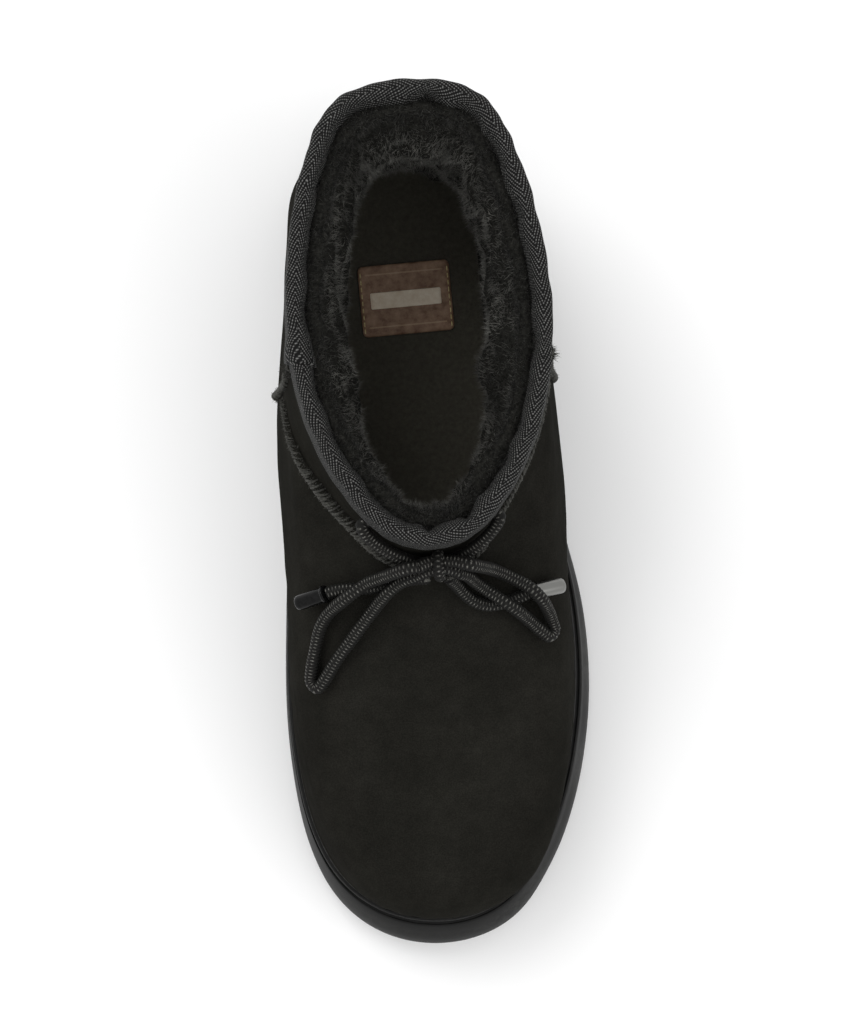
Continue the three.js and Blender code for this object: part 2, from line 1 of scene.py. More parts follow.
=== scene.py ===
"""Dresses the sheepskin ankle boot for its picture: suede, wool, woven tape, braided lace and moulded rubber.

Lengths in the tables are millimetres, as in the part's own source, and become metres when a mesh is made.
The frame is the part's: +Z up, +X to the outer side of the left foot, the toe towards -Y.
"""

import bpy
import numpy as np
from mathutils import Matrix, Vector


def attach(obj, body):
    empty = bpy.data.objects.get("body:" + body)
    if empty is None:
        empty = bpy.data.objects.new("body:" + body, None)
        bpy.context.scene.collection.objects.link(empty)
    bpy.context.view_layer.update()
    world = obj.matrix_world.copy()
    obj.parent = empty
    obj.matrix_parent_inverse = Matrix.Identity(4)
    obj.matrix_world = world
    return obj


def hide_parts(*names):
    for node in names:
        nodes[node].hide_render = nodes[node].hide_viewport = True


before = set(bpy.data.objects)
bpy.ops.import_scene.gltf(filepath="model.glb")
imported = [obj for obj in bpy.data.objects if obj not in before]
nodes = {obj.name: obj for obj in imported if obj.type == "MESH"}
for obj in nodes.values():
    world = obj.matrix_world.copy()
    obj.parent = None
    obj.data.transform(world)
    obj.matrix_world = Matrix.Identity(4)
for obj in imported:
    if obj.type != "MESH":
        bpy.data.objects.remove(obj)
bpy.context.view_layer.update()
rng = np.random.default_rng(7)
MM = 0.001

# Camera, at the photograph's place over the pair of shoes and turned to this one
CAMERA_PLACE = (-58.6, 9.0, 1100.0)
CAMERA_TARGET = (0.6, 7.0, 0.0)
CAMERA_UP = (0.0698, 0.9976, 0.0)
FOCAL_PIXELS = 3244
IMAGE_HEIGHT = 1024
SENSOR = 36.0

# Sizes of the sole
SOLE_LENGTH = 275.0
BALL_WIDTH = 102.5
LIP_HEEL, LIP_TOE, LIP_DIP, LIP_WIDTH, LIP_DEPTH = 34.0, 27.0, 4.0, 1.8, 7.0
FLARE = {"heel": 5.0, "toe": 10.9, "medial": 2.5, "lateral": 7.7}
TOE_SPRING, HEEL_BEVEL, ARCH_RISE = 8.0, 3.0, 4.0

# Sizes of the upper, the wool and the tape
COLLAR_BACK, COLLAR_FRONT, COLLAR_BAND = 129.5, 114.5, 12.0
UPPER_WALL, GAP, SNUG = 2.0, 0.3, 0.7
PILE, PILE_TOE, PILE_RIM, PILE_DOWN, LOCK_HEIGHT = 9.5, 4.5, 7.0, 2.5, 1.1
TAPE, TAPE_OUTSIDE, TAPE_INSIDE, TAPE_LEAN, TAPE_CROWN = 0.9, 9.0, 5.5, 3.2, 2.0
SEAM_WIDTH, SEAM_HEIGHT = 4.6, 3.0
INSOLE = 4.0
LABEL = {"width": 31.0, "length": 24.0, "thickness": 0.8, "back": 78.0, "across": 1.0, "turn": 1.5}
EYELET = {"radius": 2.6, "along": 5.5, "height": 102.5}

HALF_LENGTH = SOLE_LENGTH / 2

# Columns: share of the length from the heel, sole medial, sole lateral, body medial, body lateral, collar
OUTLINES = np.array([
    (0.0, 1.3, 1.3, 1.33, 1.33, 1.3),
    (0.06, 1.25, 1.26, 1.28, 1.28, 1.02),
    (0.14, 1.03, 1.05, 1.05, 1.11, 0.865),
    (0.22, 0.86, 0.91, 0.935, 1.0, 0.817),
    (0.3, 0.775, 0.85, 0.91, 0.955, 0.792),
    (0.4, 0.765, 0.87, 0.905, 0.93, 0.784),
    (0.5, 0.84, 0.96, 0.885, 0.92, 0.784),
    (0.6, 0.91, 1.08, 0.9, 0.92, 0.783),
    (0.7, 1.01, 1.165, 0.965, 0.975, 0.777),
    (0.8, 1.13, 1.225, 1.05, 1.05, 0.767),
    (0.88, 1.265, 1.275, 1.15, 1.15, 0.75),
    (0.94, 1.4, 1.34, 1.26, 1.29, 0.755),
    (1.0, 1.55, 1.55, 1.52, 1.52, 0.8),
])

# Columns: rise, share of the flare, how far the edge is drawn in
SIDEWALL = [
    (0.0, 0.0, 3.5), (0.07, 0.0, 1.2), (0.18, 0.0, 0.2), (0.36, 0.03, 0.0), (0.56, 0.2, 0.0),
    (0.74, 0.5, 0.0),
]

# The lace's routes, as in the part's source
LACE_BAR = [
    (-23.2, 5.8, 102.4), (-25, 4.2, 102.8), (-21.9, -0.7, 100.9), (-12.5, -6.9, 97.4), (-2, -9.3, 93.6),
    (7.4, -6, 97.2), (14.3, -0.7, 100.9), (17.4, 4.2, 102.8), (15.6, 5.8, 102.4),
]
KNOT_PLACE = (-2.2, -9.2, 99)
LOOP_MEDIAL = [
    (-8.3, -9.4, 101.6), (-12, -9.8, 101.2), (-16, -11, 98), (-20, -12.3, 92.6), (-24, -13.6, 89.2),
    (-28, -16, 88), (-31.4, -18.3, 86), (-34.9, -20.9, 81.6), (-37.6, -23.8, 78.2), (-39.5, -27.2, 75.8),
    (-40.8, -31, 74.1), (-42, -35.6, 72.1), (-43, -40.2, 70.1), (-43.4, -44, 68.8), (-41.8, -46.2, 69.6),
    (-39.3, -43.9, 71.6), (-37, -40.4, 73.7), (-34.4, -36.7, 75.8), (-31.1, -32.7, 78), (-27.8, -28.6, 80),
    (-24.4, -24.5, 82.3), (-21, -20.4, 85.6), (-17.7, -16.9, 90.4), (-14.4, -14.4, 92.6), (-11.2, -13, 95.2),
    (-8.2, -12.2, 97),
]
LOOP_LATERAL = [
    (3.7, -8.8, 101.2), (7.4, -9.9, 101), (11, -10.9, 96.4), (14.4, -11.9, 90.4), (17.8, -13.4, 87),
    (21.2, -15.3, 85.6), (24.6, -17.3, 85.4), (27.8, -19.8, 86), (30.4, -22.8, 84.4), (32.5, -26.2, 78.6),
    (33.8, -29.6, 75.2), (34.6, -33, 73.2), (32.9, -34.9, 73.8), (30.3, -33, 75.4), (27.5, -30.3, 77.4),
    (24.6, -27.6, 81), (21.6, -25, 85.4), (18.6, -22.8, 86.8), (15.4, -20.3, 86.4), (12.2, -17.8, 86.4),
    (9.2, -15.4, 88.8), (6.7, -13.3, 93.8), (3.8, -12.2, 97.2),
]
END_MEDIAL = [
    (-5.6, -13.3, 93.3), (-9.2, -13.2, 91), (-13, -13.8, 88.3), (-17, -14.6, 86.5), (-21, -15.2, 85.2),
    (-25.2, -15.4, 84.1), (-29.4, -15.2, 83), (-33.2, -15.5, 81.7), (-36.6, -16.2, 80.6),
]
END_LATERAL = [
    (1.1, -13.6, 93.1), (3.4, -16, 89), (5.8, -19, 86.4), (8.4, -21.4, 84.6), (11.2, -22.9, 83.3),
    (14.8, -23.5, 82.3), (18.6, -23.1, 81.7), (22.5, -22, 81.2), (26.6, -20.4, 80.9),
]
AGLET_MEDIAL = [(-37, -16.3, 80.4), (-46.3, -18.9, 74.9)]
AGLET_LATERAL = [(27.4, -20.3, 80.8), (38.2, -19, 75.8)]

# The raised seams, by the place along the shoe and the height
SIDE_SEAM = [(47, 33), (47.5, 45), (48.5, 58), (50, 72), (51.5, 86), (53, 98), (54.5, 109)]
VAMP_SEAM_MEDIAL = [
    (45.3, 72), (41, 77.5), (37, 81.3), (31, 84.7), (26, 86.6), (19.5, 88.4), (14, 89.2), (7, 90), (1.3, 90),
    (-4, 89), (-7.6, 88.4),
]
VAMP_SEAM_LATERAL = [
    (-10.3, 88), (-7.6, 88.2), (-4, 89), (1, 91.3), (7, 94.6), (13, 97.8), (20, 100.4), (28, 102.2),
    (36, 103.4), (45.8, 104.4),
]


# Small mathematics

def mix(a, b, t):
    return a + (b - a) * t


def clamp(t):
    return np.clip(t, 0.0, 1.0)


def smooth(t):
    t = clamp(t)
    return t * t * (3 - 2 * t)


def bump(t, centre, width):
    return np.exp(-(((t - centre) / width) ** 2))


def bumps(t, rows, base=0.0):
    """Bumps on a base, each row with a height, a centre and a width."""
    for height, centre, width in rows:
        base = base + height * bump(t, centre, width)
    return base


def unit(v):
    return v / np.maximum(np.linalg.norm(v, axis=-1, keepdims=True), 1e-12)


def along(rows, column, at):
    """A smooth curve through one column of a table whose first column is in order."""
    x, y = rows[:, 0], rows[:, column]
    slope = np.empty(len(x))
    slope[1:-1] = (y[2:] - y[:-2]) / (x[2:] - x[:-2])
    slope[0] = (y[1] - y[0]) / (x[1] - x[0])
    slope[-1] = (y[-1] - y[-2]) / (x[-1] - x[-2])
    at = np.asarray(at, float)
    i = np.clip(np.searchsorted(x, at) - 1, 0, len(x) - 2)
    span = x[i + 1] - x[i]
    t = (at - x[i]) / span
    leave, arrive = t * (1 - t) ** 2, t * t * (t - 1)
    return mix(y[i], y[i + 1], smooth(t)) + span * (leave * slope[i] + arrive * slope[i + 1])


def run_along(points):
    """The distance run at each point of a path."""
    return np.concatenate([[0], np.cumsum(np.linalg.norm(np.diff(points, axis=0), axis=1))])


def grid(rows, columns):
    return np.meshgrid(rows, columns, indexing="ij")


def noise(points, size, seed):
    """Smooth noise from -1 to 1 at each point, with features about one size across."""
    p = np.asarray(points, float) / size + 31.7 * seed
    cell = np.floor(p).astype(np.int64)
    f = p - cell
    f = f * f * (3 - 2 * f)
    total = np.zeros(p.shape[:-1])
    for corner in range(8):
        offset = np.array([(corner >> k) & 1 for k in range(3)])
        c = cell + offset
        h = (c[..., 0] * 73856093) ^ (c[..., 1] * 19349663) ^ (c[..., 2] * 83492791)
        h = (h * 1540483477) & 0xFFFFFFFF
        h ^= h >> 15
        h = (h * 2246822519) & 0xFFFFFFFF
        h ^= h >> 13
        weight = np.prod(np.where(offset, f, 1 - f), axis=-1)
        total += weight * ((h & 0xFFFF) / 32767.5 - 1)
    return total


# The shoe's surfaces, as in the part's source

def fullness(form, turn, share):
    medial = np.mod(turn, 1) < 0.5
    sole = np.where(medial, along(OUTLINES, 1, share), along(OUTLINES, 2, share))
    body = np.where(medial, along(OUTLINES, 3, share), along(OUTLINES, 4, share))
    collar = along(OUTLINES, 5, share)
    return np.where(form < 1, mix(sole, body, form), mix(body, collar, form - 1))


def reach(turn):
    share = (np.arange(200) + 0.5) / 200
    return BALL_WIDTH / 2 * np.max(2 * np.sqrt(share * (1 - share)) * fullness(0, turn, share))


REACH = {"medial": reach(0.25), "lateral": reach(0.75)}
MIDDLE = (REACH["medial"] - REACH["lateral"]) / 2


def ring_point(turn, heel, toe, medial, lateral, form, height):
    """A point of a ring round the shoe. Turn 0 is the back of the heel and 0.25 the inner side."""
    angle = 2 * np.pi * turn
    share = (1 - np.cos(angle)) / 2
    scale = np.where(np.mod(turn, 1) < 0.5, medial, lateral)
    half = BALL_WIDTH / 2 * np.sin(angle) * fullness(form, turn, share) * scale
    return np.stack(np.broadcast_arrays(MIDDLE - half, mix(heel, toe, share), height(share)), -1)


def tread_height(share):
    spring = TOE_SPRING * clamp((share - 0.7) / 0.3) ** 2
    bevel = HEEL_BEVEL * clamp((0.07 - share) / 0.07) ** 2
    return spring + bevel + ARCH_RISE * np.sin(np.pi * clamp((share - 0.27) / 0.25)) ** 2


def lip_height(share):
    return mix(LIP_HEEL, LIP_TOE, share) - LIP_DIP * 4 * share * (1 - share)


def insole_height(share):
    return lip_height(share) - LIP_DEPTH + GAP + INSOLE


def share_at(y):
    return (HALF_LENGTH - y) / SOLE_LENGTH


LIP_ROW = (
    1.0, 1 - FLARE["heel"] / HALF_LENGTH, FLARE["toe"] / HALF_LENGTH - 1,
    1 - FLARE["medial"] / REACH["medial"], 1 - FLARE["lateral"] / REACH["lateral"], 0.0, 0.0, 0.0,
)
# Columns: level, heel, toe, medial, lateral, back, front, form
SECTIONS = np.array([
    LIP_ROW,
    (2, 0.97, -0.921, 1.0, 0.965, 0.09, 0.1, 0.6),
    (3, 0.975, -0.907, 1.0, 1.0, 0.17, 0.2, 0.95),
    (4, 0.974, -0.866, 0.995, 0.995, 0.25, 0.29, 1.1),
    (5, 0.97, -0.79, 0.985, 0.985, 0.33, 0.358, 1.25),
    (6, 0.964, -0.68, 0.98, 0.98, 0.42, 0.412, 1.42),
    (7, 0.959, -0.53, 0.985, 0.985, 0.51, 0.47, 1.6),
    (8, 0.956, -0.36, 0.99, 0.99, 0.6, 0.535, 1.78),
    (9, 0.956, -0.185, 0.995, 0.995, 0.69, 0.61, 1.93),
    (10, 0.96, -0.069, 1.0, 1.0, 0.78, 0.7, 2),
    (11, 0.97, -0.03, 0.99, 0.99, 1 - COLLAR_BAND / (COLLAR_BACK - LIP_HEEL),
     1 - COLLAR_BAND / (COLLAR_FRONT - LIP_TOE), 2),
    (12, 0.988, -0.013, 0.97, 0.97, 1, 1, 2),
])
TOP = 12.0
SOCK = 1 - (LIP_DEPTH - 2 * GAP - INSOLE) / (LIP_DEPTH - GAP)
PILE_TOP = TOP - PILE_DOWN / COLLAR_BAND


def upper_point(turn, level):
    turn, level = np.broadcast_arrays(np.asarray(turn, float), np.asarray(level, float))
    row = [along(SECTIONS, k, np.maximum(1, level)) for k in range(1, 8)]
    heel, toe, medial, lateral, back, front, form = row
    dip = LIP_DIP * clamp((5 - level) / 4)
    sunk = (LIP_DEPTH - GAP) * clamp(1 - level)

    def height(share):
        low_high = mix(mix(LIP_HEEL, COLLAR_BACK, back), mix(LIP_TOE, COLLAR_FRONT, front), share)
        return low_high - dip * 4 * share * (1 - share) - sunk

    form = 2 * clamp(form / 2)
    return ring_point(turn, heel * HALF_LENGTH, toe * HALF_LENGTH, medial, lateral, form, height)


def upper_frame(turn, level):
    """The point, the way out and the way up of the upper's outer surface."""
    step, rise = 0.002, 0.02
    point = upper_point(turn, level)
    around = upper_point(np.mod(turn + step, 1), level) - upper_point(np.mod(turn - step, 1), level)
    up = upper_point(turn, np.minimum(TOP, level + rise)) - upper_point(turn, np.maximum(0, level - rise))
    return point, unit(np.cross(around, up)), unit(up)


def on_upper(turn, level, distance):
    point, out, _ = upper_frame(turn, level)
    return point + out * np.asarray(distance, float)[..., None]


def over_collar(turn, distance, rise):
    """A point by its distance out of the upper's surface and its height over the collar's edge."""
    point, out, up = upper_frame(turn, TOP + np.minimum(0, rise) / COLLAR_BAND)
    return point + out * np.asarray(distance)[..., None] + up * np.maximum(0, rise)[..., None]


def find_on_upper(side, place, height):
    """The turn and level where the upper, at a place along the shoe, has a height."""
    low, high = 0.0, TOP
    for _ in range(40):
        level = (low + high) / 2
        heel, toe = (along(SECTIONS, k, max(1, level)) * HALF_LENGTH for k in (1, 2))
        share = float(clamp((heel - place) / (heel - toe)))
        turn = 0.5 + side * (0.5 - np.arccos(1 - 2 * share) / (2 * np.pi))
        if upper_point(turn, level)[2] < height:
            low = level
        else:
            high = level
    return turn, level


def sole_point(turn, rise, inset):
    """A point of the sole's wall, drawn in by the four insets at the heel, toe, medial and lateral side."""
    heel, toe, medial, lateral = inset
    sides = 1 - medial / REACH["medial"], 1 - lateral / REACH["lateral"]
    return ring_point(
        turn, HALF_LENGTH - heel, toe - HALF_LENGTH, *sides, 0.0,
        lambda share: mix(tread_height(share), lip_height(share), rise),
    )


def pile_depth(turn, level):
    toeward = smooth(np.where(np.abs(turn - 0.5) < 0.25, 1.0, 0.0) * (7.5 - level) / 4)
    deep = mix(PILE, PILE_TOE, toeward)
    freed = smooth((TOP - 0.55 - level) / 1.1)
    rooted = smooth((level - 0.7) / 1.2)
    locks = LOCK_HEIGHT * np.sin(2 * np.pi * (17 * turn + 0.45 * level)) * np.cos(2.3 * level + 9 * turn)
    return mix(PILE_RIM, mix(PILE_TOE, deep, rooted) + locks * rooted, freed)


# Meshes

def add_object(name, data):
    obj = bpy.data.objects.new(name, data)
    bpy.context.collection.objects.link(obj)
    return obj


def finish_mesh(name, vertices, faces, material, slot, uv=None, relief=None):
    mesh = bpy.data.meshes.new(name)
    mesh.from_pydata((np.asarray(vertices, float) * MM).tolist(), [], faces)
    mesh.polygons.foreach_set("use_smooth", np.ones(len(mesh.polygons), bool))
    if uv is not None:
        layer = mesh.uv_layers.new(name="UVMap")
        layer.data.foreach_set("uv", np.asarray(uv, np.float32).ravel())
    if relief is not None:
        attribute = mesh.attributes.new("relief", "FLOAT", "POINT")
        attribute.data.foreach_set("value", np.asarray(relief, np.float32).ravel())
    mesh.materials.append(material)
    obj = add_object(name, mesh)
    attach(obj, "root")
    return obj


def grid_faces(rows, cols, close_rows=False):
    """Quads of rows that close on themselves, and the (column, row) of each corner."""
    r, c = (a.ravel() for a in grid(np.arange(rows if close_rows else rows - 1), np.arange(cols)))
    r2, c2 = (r + 1) % rows, (c + 1) % cols
    quads = np.stack([r * cols + c, r * cols + c2, r2 * cols + c2, r2 * cols + c], 1)
    corners = np.stack([np.stack([c + i, r + j], 1) for i, j in ((0, 0), (1, 0), (1, 1), (0, 1))], 1)
    return quads, corners


def capped_faces(rows, cols):
    """The faces of a tube of closed rings, with a cap on each end."""
    last = (rows - 1) * cols
    quads, _ = grid_faces(rows, cols)
    return [*quads.tolist(), list(range(cols))[::-1], list(range(last, last + cols))]


def grid_piece(name, sheets, material, slot, us=None, vs=None, relief=None):
    """A closed piece from sheets of points, by turn and by place across, joined edge to edge all round."""
    points = np.concatenate(sheets, 1).transpose(1, 0, 2)
    quads, corners = grid_faces(*points.shape[:2], close_rows=True)
    uv = None
    if us is not None:
        uv = np.stack([us[corners[..., 0]], vs[corners[..., 1]]], -1)
    return finish_mesh(name, points.reshape(-1, 3), quads.tolist(), material, slot, uv, relief)


def centripetal(points, step):
    """A smooth curve through the points, at even steps."""
    p = np.asarray(points, float)
    p = np.vstack([2 * p[0] - p[1], p, 2 * p[-1] - p[-2]])
    fine = []
    for i in range(1, len(p) - 2):
        p0, p1, p2, p3 = p[i - 1:i + 3]
        d0, d1, d2 = (max(np.linalg.norm(b - a) ** 0.5, 1e-4) for a, b in ((p0, p1), (p1, p2), (p2, p3)))
        t1 = ((p1 - p0) / d0 - (p2 - p0) / (d0 + d1) + (p2 - p1) / d1) * d1
        t2 = ((p2 - p1) / d1 - (p3 - p1) / (d1 + d2) + (p3 - p2) / d2) * d1
        t = np.linspace(0, 1, 24, endpoint=False)[:, None]
        square = -3 * p1 + 3 * p2 - 2 * t1 - t2
        cube = 2 * p1 - 2 * p2 + t1 + t2
        fine.append(p1 + t1 * t + square * t ** 2 + cube * t ** 3)
    fine = np.vstack([*fine, p[-2:-1]])
    run = run_along(fine)
    at = np.linspace(0, run[-1], max(2, int(run[-1] / step) + 1))
    return np.stack([np.interp(at, run, fine[:, k]) for k in range(3)], 1), at


def carried_frames(path, first):
    """Two directions across a path, carried along it without twist."""
    tangent = unit(np.gradient(path, axis=0))
    across = np.empty_like(path)
    side = np.cross(tangent[0], first)
    if np.linalg.norm(side) < 1e-3:
        side = np.cross(tangent[0], (1, 0, 0))
    for i, t in enumerate(tangent):
        side = side - t * (side @ t)
        side /= np.linalg.norm(side)
        across[i] = side
    return across, np.cross(tangent, across)


def tube_arrays(path, radius, sides, first=(0, 0, 1)):
    """Vertices and faces of a round tube, whose radius may be a number, one per ring or one per vertex."""
    a, b = carried_frames(path, first)
    angle = 2 * np.pi * np.arange(sides) / sides
    if np.ndim(radius) == 1:
        radius = radius[:, None]
    radius = np.broadcast_to(radius, (len(path), sides))
    ring = a[:, None] * np.cos(angle)[None, :, None] + b[:, None] * np.sin(angle)[None, :, None]
    vertices = (path[:, None] + ring * radius[..., None]).reshape(-1, 3)
    return vertices, capped_faces(len(path), sides)


def merge(parts):
    """Several (vertices, faces) as one."""
    vertices, faces, first = [], [], 0
    for v, f in parts:
        vertices.append(v)
        faces += [[i + first for i in face] for face in f]
        first += len(v)
    return np.vstack(vertices), faces


# Materials

class Shader:
    """A node material, with short calls to add and join its nodes."""

    def __init__(self, name, rough=0.8, specular=0.3, metallic=0.0):
        self.material = bpy.data.materials.new(name)
        self.material.use_nodes = True
        self.tree = self.material.node_tree
        self.bsdf = self.tree.nodes["Principled BSDF"]
        self.put("Roughness", rough)
        self.put("Specular IOR Level", specular)
        self.put("Metallic", metallic)

    def feed(self, socket, value):
        if isinstance(value, bpy.types.NodeSocket):
            self.tree.links.new(value, socket)
        else:
            socket.default_value = value

    def put(self, name, value):
        self.feed(self.bsdf.inputs[name], value)

    def add(self, kind, values=(), **settings):
        node = self.tree.nodes.new(kind)
        for key, value in settings.items():
            setattr(node, key, value)
        for key, value in dict(values).items():
            self.feed(node.inputs[key], value)
        return node

    def math(self, operation, a, b=0.0):
        return self.add("ShaderNodeMath", {0: a, 1: b}, operation=operation).outputs[0]

    def plus(self, a, b):
        return self.math("ADD", a, b)

    def times(self, a, b):
        return self.math("MULTIPLY", a, b)

    def grain(self, size, detail=2.0, rough=0.5):
        """Noise with features about one size in millimetres across."""
        where = self.add("ShaderNodeTexCoord").outputs["Object"]
        where = self.add("ShaderNodeMapping", {"Vector": where, "Scale": (1000.0 / size,) * 3}).outputs[0]
        values = {"Vector": where, "Scale": 1.0, "Detail": detail, "Roughness": rough}
        return self.add("ShaderNodeTexNoise", values).outputs[0]

    def ramp(self, factor, stops):
        node = self.add("ShaderNodeValToRGB", {0: factor})
        ramp = node.color_ramp
        while len(ramp.elements) < len(stops):
            ramp.elements.new(0.5)
        for element, (at, colour) in zip(ramp.elements, stops):
            element.position = at
            element.color = (*colour, 1.0)
        return node.outputs[0]

    def colour(self, factor, *stops):
        self.put("Base Color", self.ramp(factor, stops))

    def roughen(self, size, least, spread, detail=4, rough=0.5):
        """Roughness that wanders by so much over its least."""
        self.put("Roughness", self.plus(self.times(self.grain(size, detail, rough), spread), least))

    def blend(self, factor, a, b, blend_type="MIX"):
        sockets = {0: factor, 6: a, 7: b}
        return self.add("ShaderNodeMix", sockets, data_type="RGBA", blend_type=blend_type).outputs[2]

    def relief(self):
        return self.add("ShaderNodeAttribute", attribute_name="relief").outputs["Fac"]

    def raise_by(self, *heights):
        """Bumps, each a height socket with its depth in millimetres and strength, one over the other."""
        normal = None
        for height, depth, strength in heights:
            values = {"Height": height, "Distance": depth * MM, "Strength": strength}
            if normal is not None:
                values["Normal"] = normal
            normal = self.add("ShaderNodeBump", values).outputs[0]
        self.put("Normal", normal)


def suede_material():
    s = Shader("suede", rough=1.0, specular=0.01)
    patches = s.grain(26, detail=3, rough=0.6)
    nap = s.grain(5, detail=4, rough=0.65)
    fibre = s.grain(0.45, detail=2)
    base = s.ramp(s.plus(s.times(patches, 0.6), s.times(nap, 0.4)), [
        (0.3, (0.0096, 0.0093, 0.0079)), (0.5, (0.0132, 0.0127, 0.0108)), (0.72, (0.0182, 0.0175, 0.0149)),
    ])
    flecks = s.ramp(fibre, [(0.35, (0.78, 0.78, 0.78)), (0.7, (1.22, 1.22, 1.2))])
    s.put("Base Color", s.blend(1.0, base, flecks, "MULTIPLY"))
    s.raise_by((nap, 0.3, 0.4), (fibre, 0.12, 0.5))
    return s.material


def rubber_material(wear_and_painted_light):
    """Dark rubber; on the wall its relief attribute says how far to lighten it: scuffs of wear, a lighter
    line along the bead, and painted light on the lip's top against the shade beside the upper.
    """
    s = Shader("sole_rubber_wall" if wear_and_painted_light else "sole_rubber", specular=0.13)
    cloud = s.grain(18, detail=3)
    base = s.ramp(cloud, [(0.3, (0.0055, 0.0055, 0.0053)), (0.7, (0.0088, 0.0088, 0.0085))])
    if wear_and_painted_light:
        streak = s.ramp(s.grain(2.2, detail=5, rough=0.7), [(0.42, (0.0, 0.0, 0.0)), (0.62, (1.0, 1.0, 1.0))])
        base = s.blend(s.times(s.relief(), s.plus(streak, 0.35)), base, (0.075, 0.075, 0.073, 1.0))
    s.put("Base Color", base)
    s.roughen(2.2, 0.44, 0.25, detail=5, rough=0.7)
    s.raise_by((s.grain(0.7, detail=3), 0.08, 0.5), (cloud, 0.4, 0.2))
    return s.material


def wool_material(name, dark, light, sheen):
    s = Shader(name, rough=0.85, specular=0.12)
    s.colour(s.relief(), (0.0, dark), (1.0, light))
    s.put("Sheen Weight", sheen)
    s.put("Sheen Roughness", 0.45)
    return s.material


def pelt_material():
    s = Shader("wool_pelt", rough=0.95, specular=0.05)
    curl = s.grain(1.1, detail=4, rough=0.7)
    s.colour(curl, (0.35, (0.005, 0.005, 0.0043)), (0.75, (0.028, 0.0275, 0.0243)))
    s.raise_by((curl, 0.8, 0.9))
    return s.material


def tape_material():
    """Herringbone: light threads that show as rows of dots, whose slant turns at every column of the tape."""
    s = Shader("binding_tape", rough=0.75, specular=0.15)
    uv = s.add("ShaderNodeSeparateXYZ", {0: s.add("ShaderNodeTexCoord").outputs["UV"]})
    column, rib, thread, slant = 3.2, 0.86, 0.8, np.radians(25)
    run = s.plus(uv.outputs[0], s.times(s.grain(7, detail=1), 3.0))
    zigzag = s.math("PINGPONG", uv.outputs[1], column)

    def wave(by_run, by_across, length):
        phase = s.plus(s.times(run, by_run / length), s.times(zigzag, by_across / length))
        return s.plus(s.times(s.math("SINE", s.times(phase, 2 * np.pi)), 0.5), 0.5)

    ribs = wave(-np.sin(slant), np.cos(slant), rib)
    dots = wave(np.cos(slant), np.sin(slant), thread)
    weave = s.times(ribs, s.plus(s.times(dots, 0.55), 0.45))
    fleck = s.plus(s.times(s.grain(0.7), 1.3), 0.35)
    s.colour(
        s.times(weave, fleck),
        (0.2, (0.0018, 0.0018, 0.0017)), (0.5, (0.011, 0.011, 0.0106)), (0.93, (0.15, 0.15, 0.144)),
    )
    s.raise_by((weave, 0.3, 0.9))
    return s.material


def cord_material():
    s = Shader("lace_cord", rough=0.65, specular=0.12)
    fibre = s.grain(0.35)
    s.colour(
        s.times(s.relief(), s.plus(fibre, 0.5)),
        (0.1, (0.004, 0.0039, 0.0036)), (0.72, (0.0108, 0.0105, 0.0094)), (1.0, (0.175, 0.172, 0.155)),
    )
    s.put("Sheen Weight", 0.012)
    s.raise_by((fibre, 0.1, 0.6))
    return s.material


def thread_material():
    s = Shader("seam_thread", rough=0.8, specular=0.15)
    s.colour(s.grain(0.6, detail=3), (0.3, (0.018, 0.0178, 0.0158)), (0.7, (0.078, 0.0773, 0.0686)))
    s.put("Sheen Weight", 0.05)
    return s.material


def insole_material():
    s = Shader("insole_felt", rough=1.0, specular=0.03)
    felt = s.grain(1.4, detail=4, rough=0.7)
    s.colour(felt, (0.3, (0.056, 0.052, 0.0415)), (0.8, (0.086, 0.081, 0.0655)))
    s.raise_by((s.grain(1.0, detail=4, rough=0.7), 0.6, 0.8))
    return s.material


def leather_material(name, dark, light):
    s = Shader(name, rough=0.6, specular=0.25)
    tone = s.grain(3.0, detail=5, rough=0.65)
    s.colour(tone, (0.3, dark), (0.75, light))
    s.raise_by((s.grain(0.5, detail=3), 0.08, 0.6), (tone, 0.2, 0.3))
    return s.material


def tip_material(bright):
    """Bare metal, or a shaded copy of the same metal: near black as painted shade, in place of a dark
    reflection, it shines only along its edges.
    """
    if bright:
        s = Shader("aglet_bright", specular=0.5, metallic=1.0)
        s.put("Base Color", (0.2, 0.2, 0.19, 1.0))
        s.roughen(1.5, 0.24, 0.12)
    else:
        # Painted shade: the same metal as the bright tip, coloured near black as if it reflected dark
        # surroundings
        s = Shader("aglet_shaded", specular=0.1)
        s.colour(s.grain(1.2, detail=4), (0.3, (0.003, 0.003, 0.003)), (0.8, (0.009, 0.009, 0.009)))
        s.roughen(1.5, 0.06, 0.15)
    return s.material


SUEDE = suede_material()
RUBBER = rubber_material(False)
RUBBER_WALL = rubber_material(True)
CORD_BLACK = cord_material()
THREAD = thread_material()
TAPE_CLOTH = tape_material()
PELT = pelt_material()
WOOL = wool_material("wool", (0.003, 0.003, 0.0026), (0.2, 0.197, 0.18), 0.04)
TUFT = wool_material("wool_tuft", (0.005, 0.005, 0.0042), (0.06, 0.058, 0.05), 0.06)
FUZZ = wool_material("seam_fuzz", (0.013, 0.0129, 0.0115), (0.15, 0.149, 0.133), 0.03)
FELT = insole_material()


# Camera, light and floor

# Half the floor's side in metres, and the strength of the light from all around
FLOOR, SURROUND = 30.0, 0.95


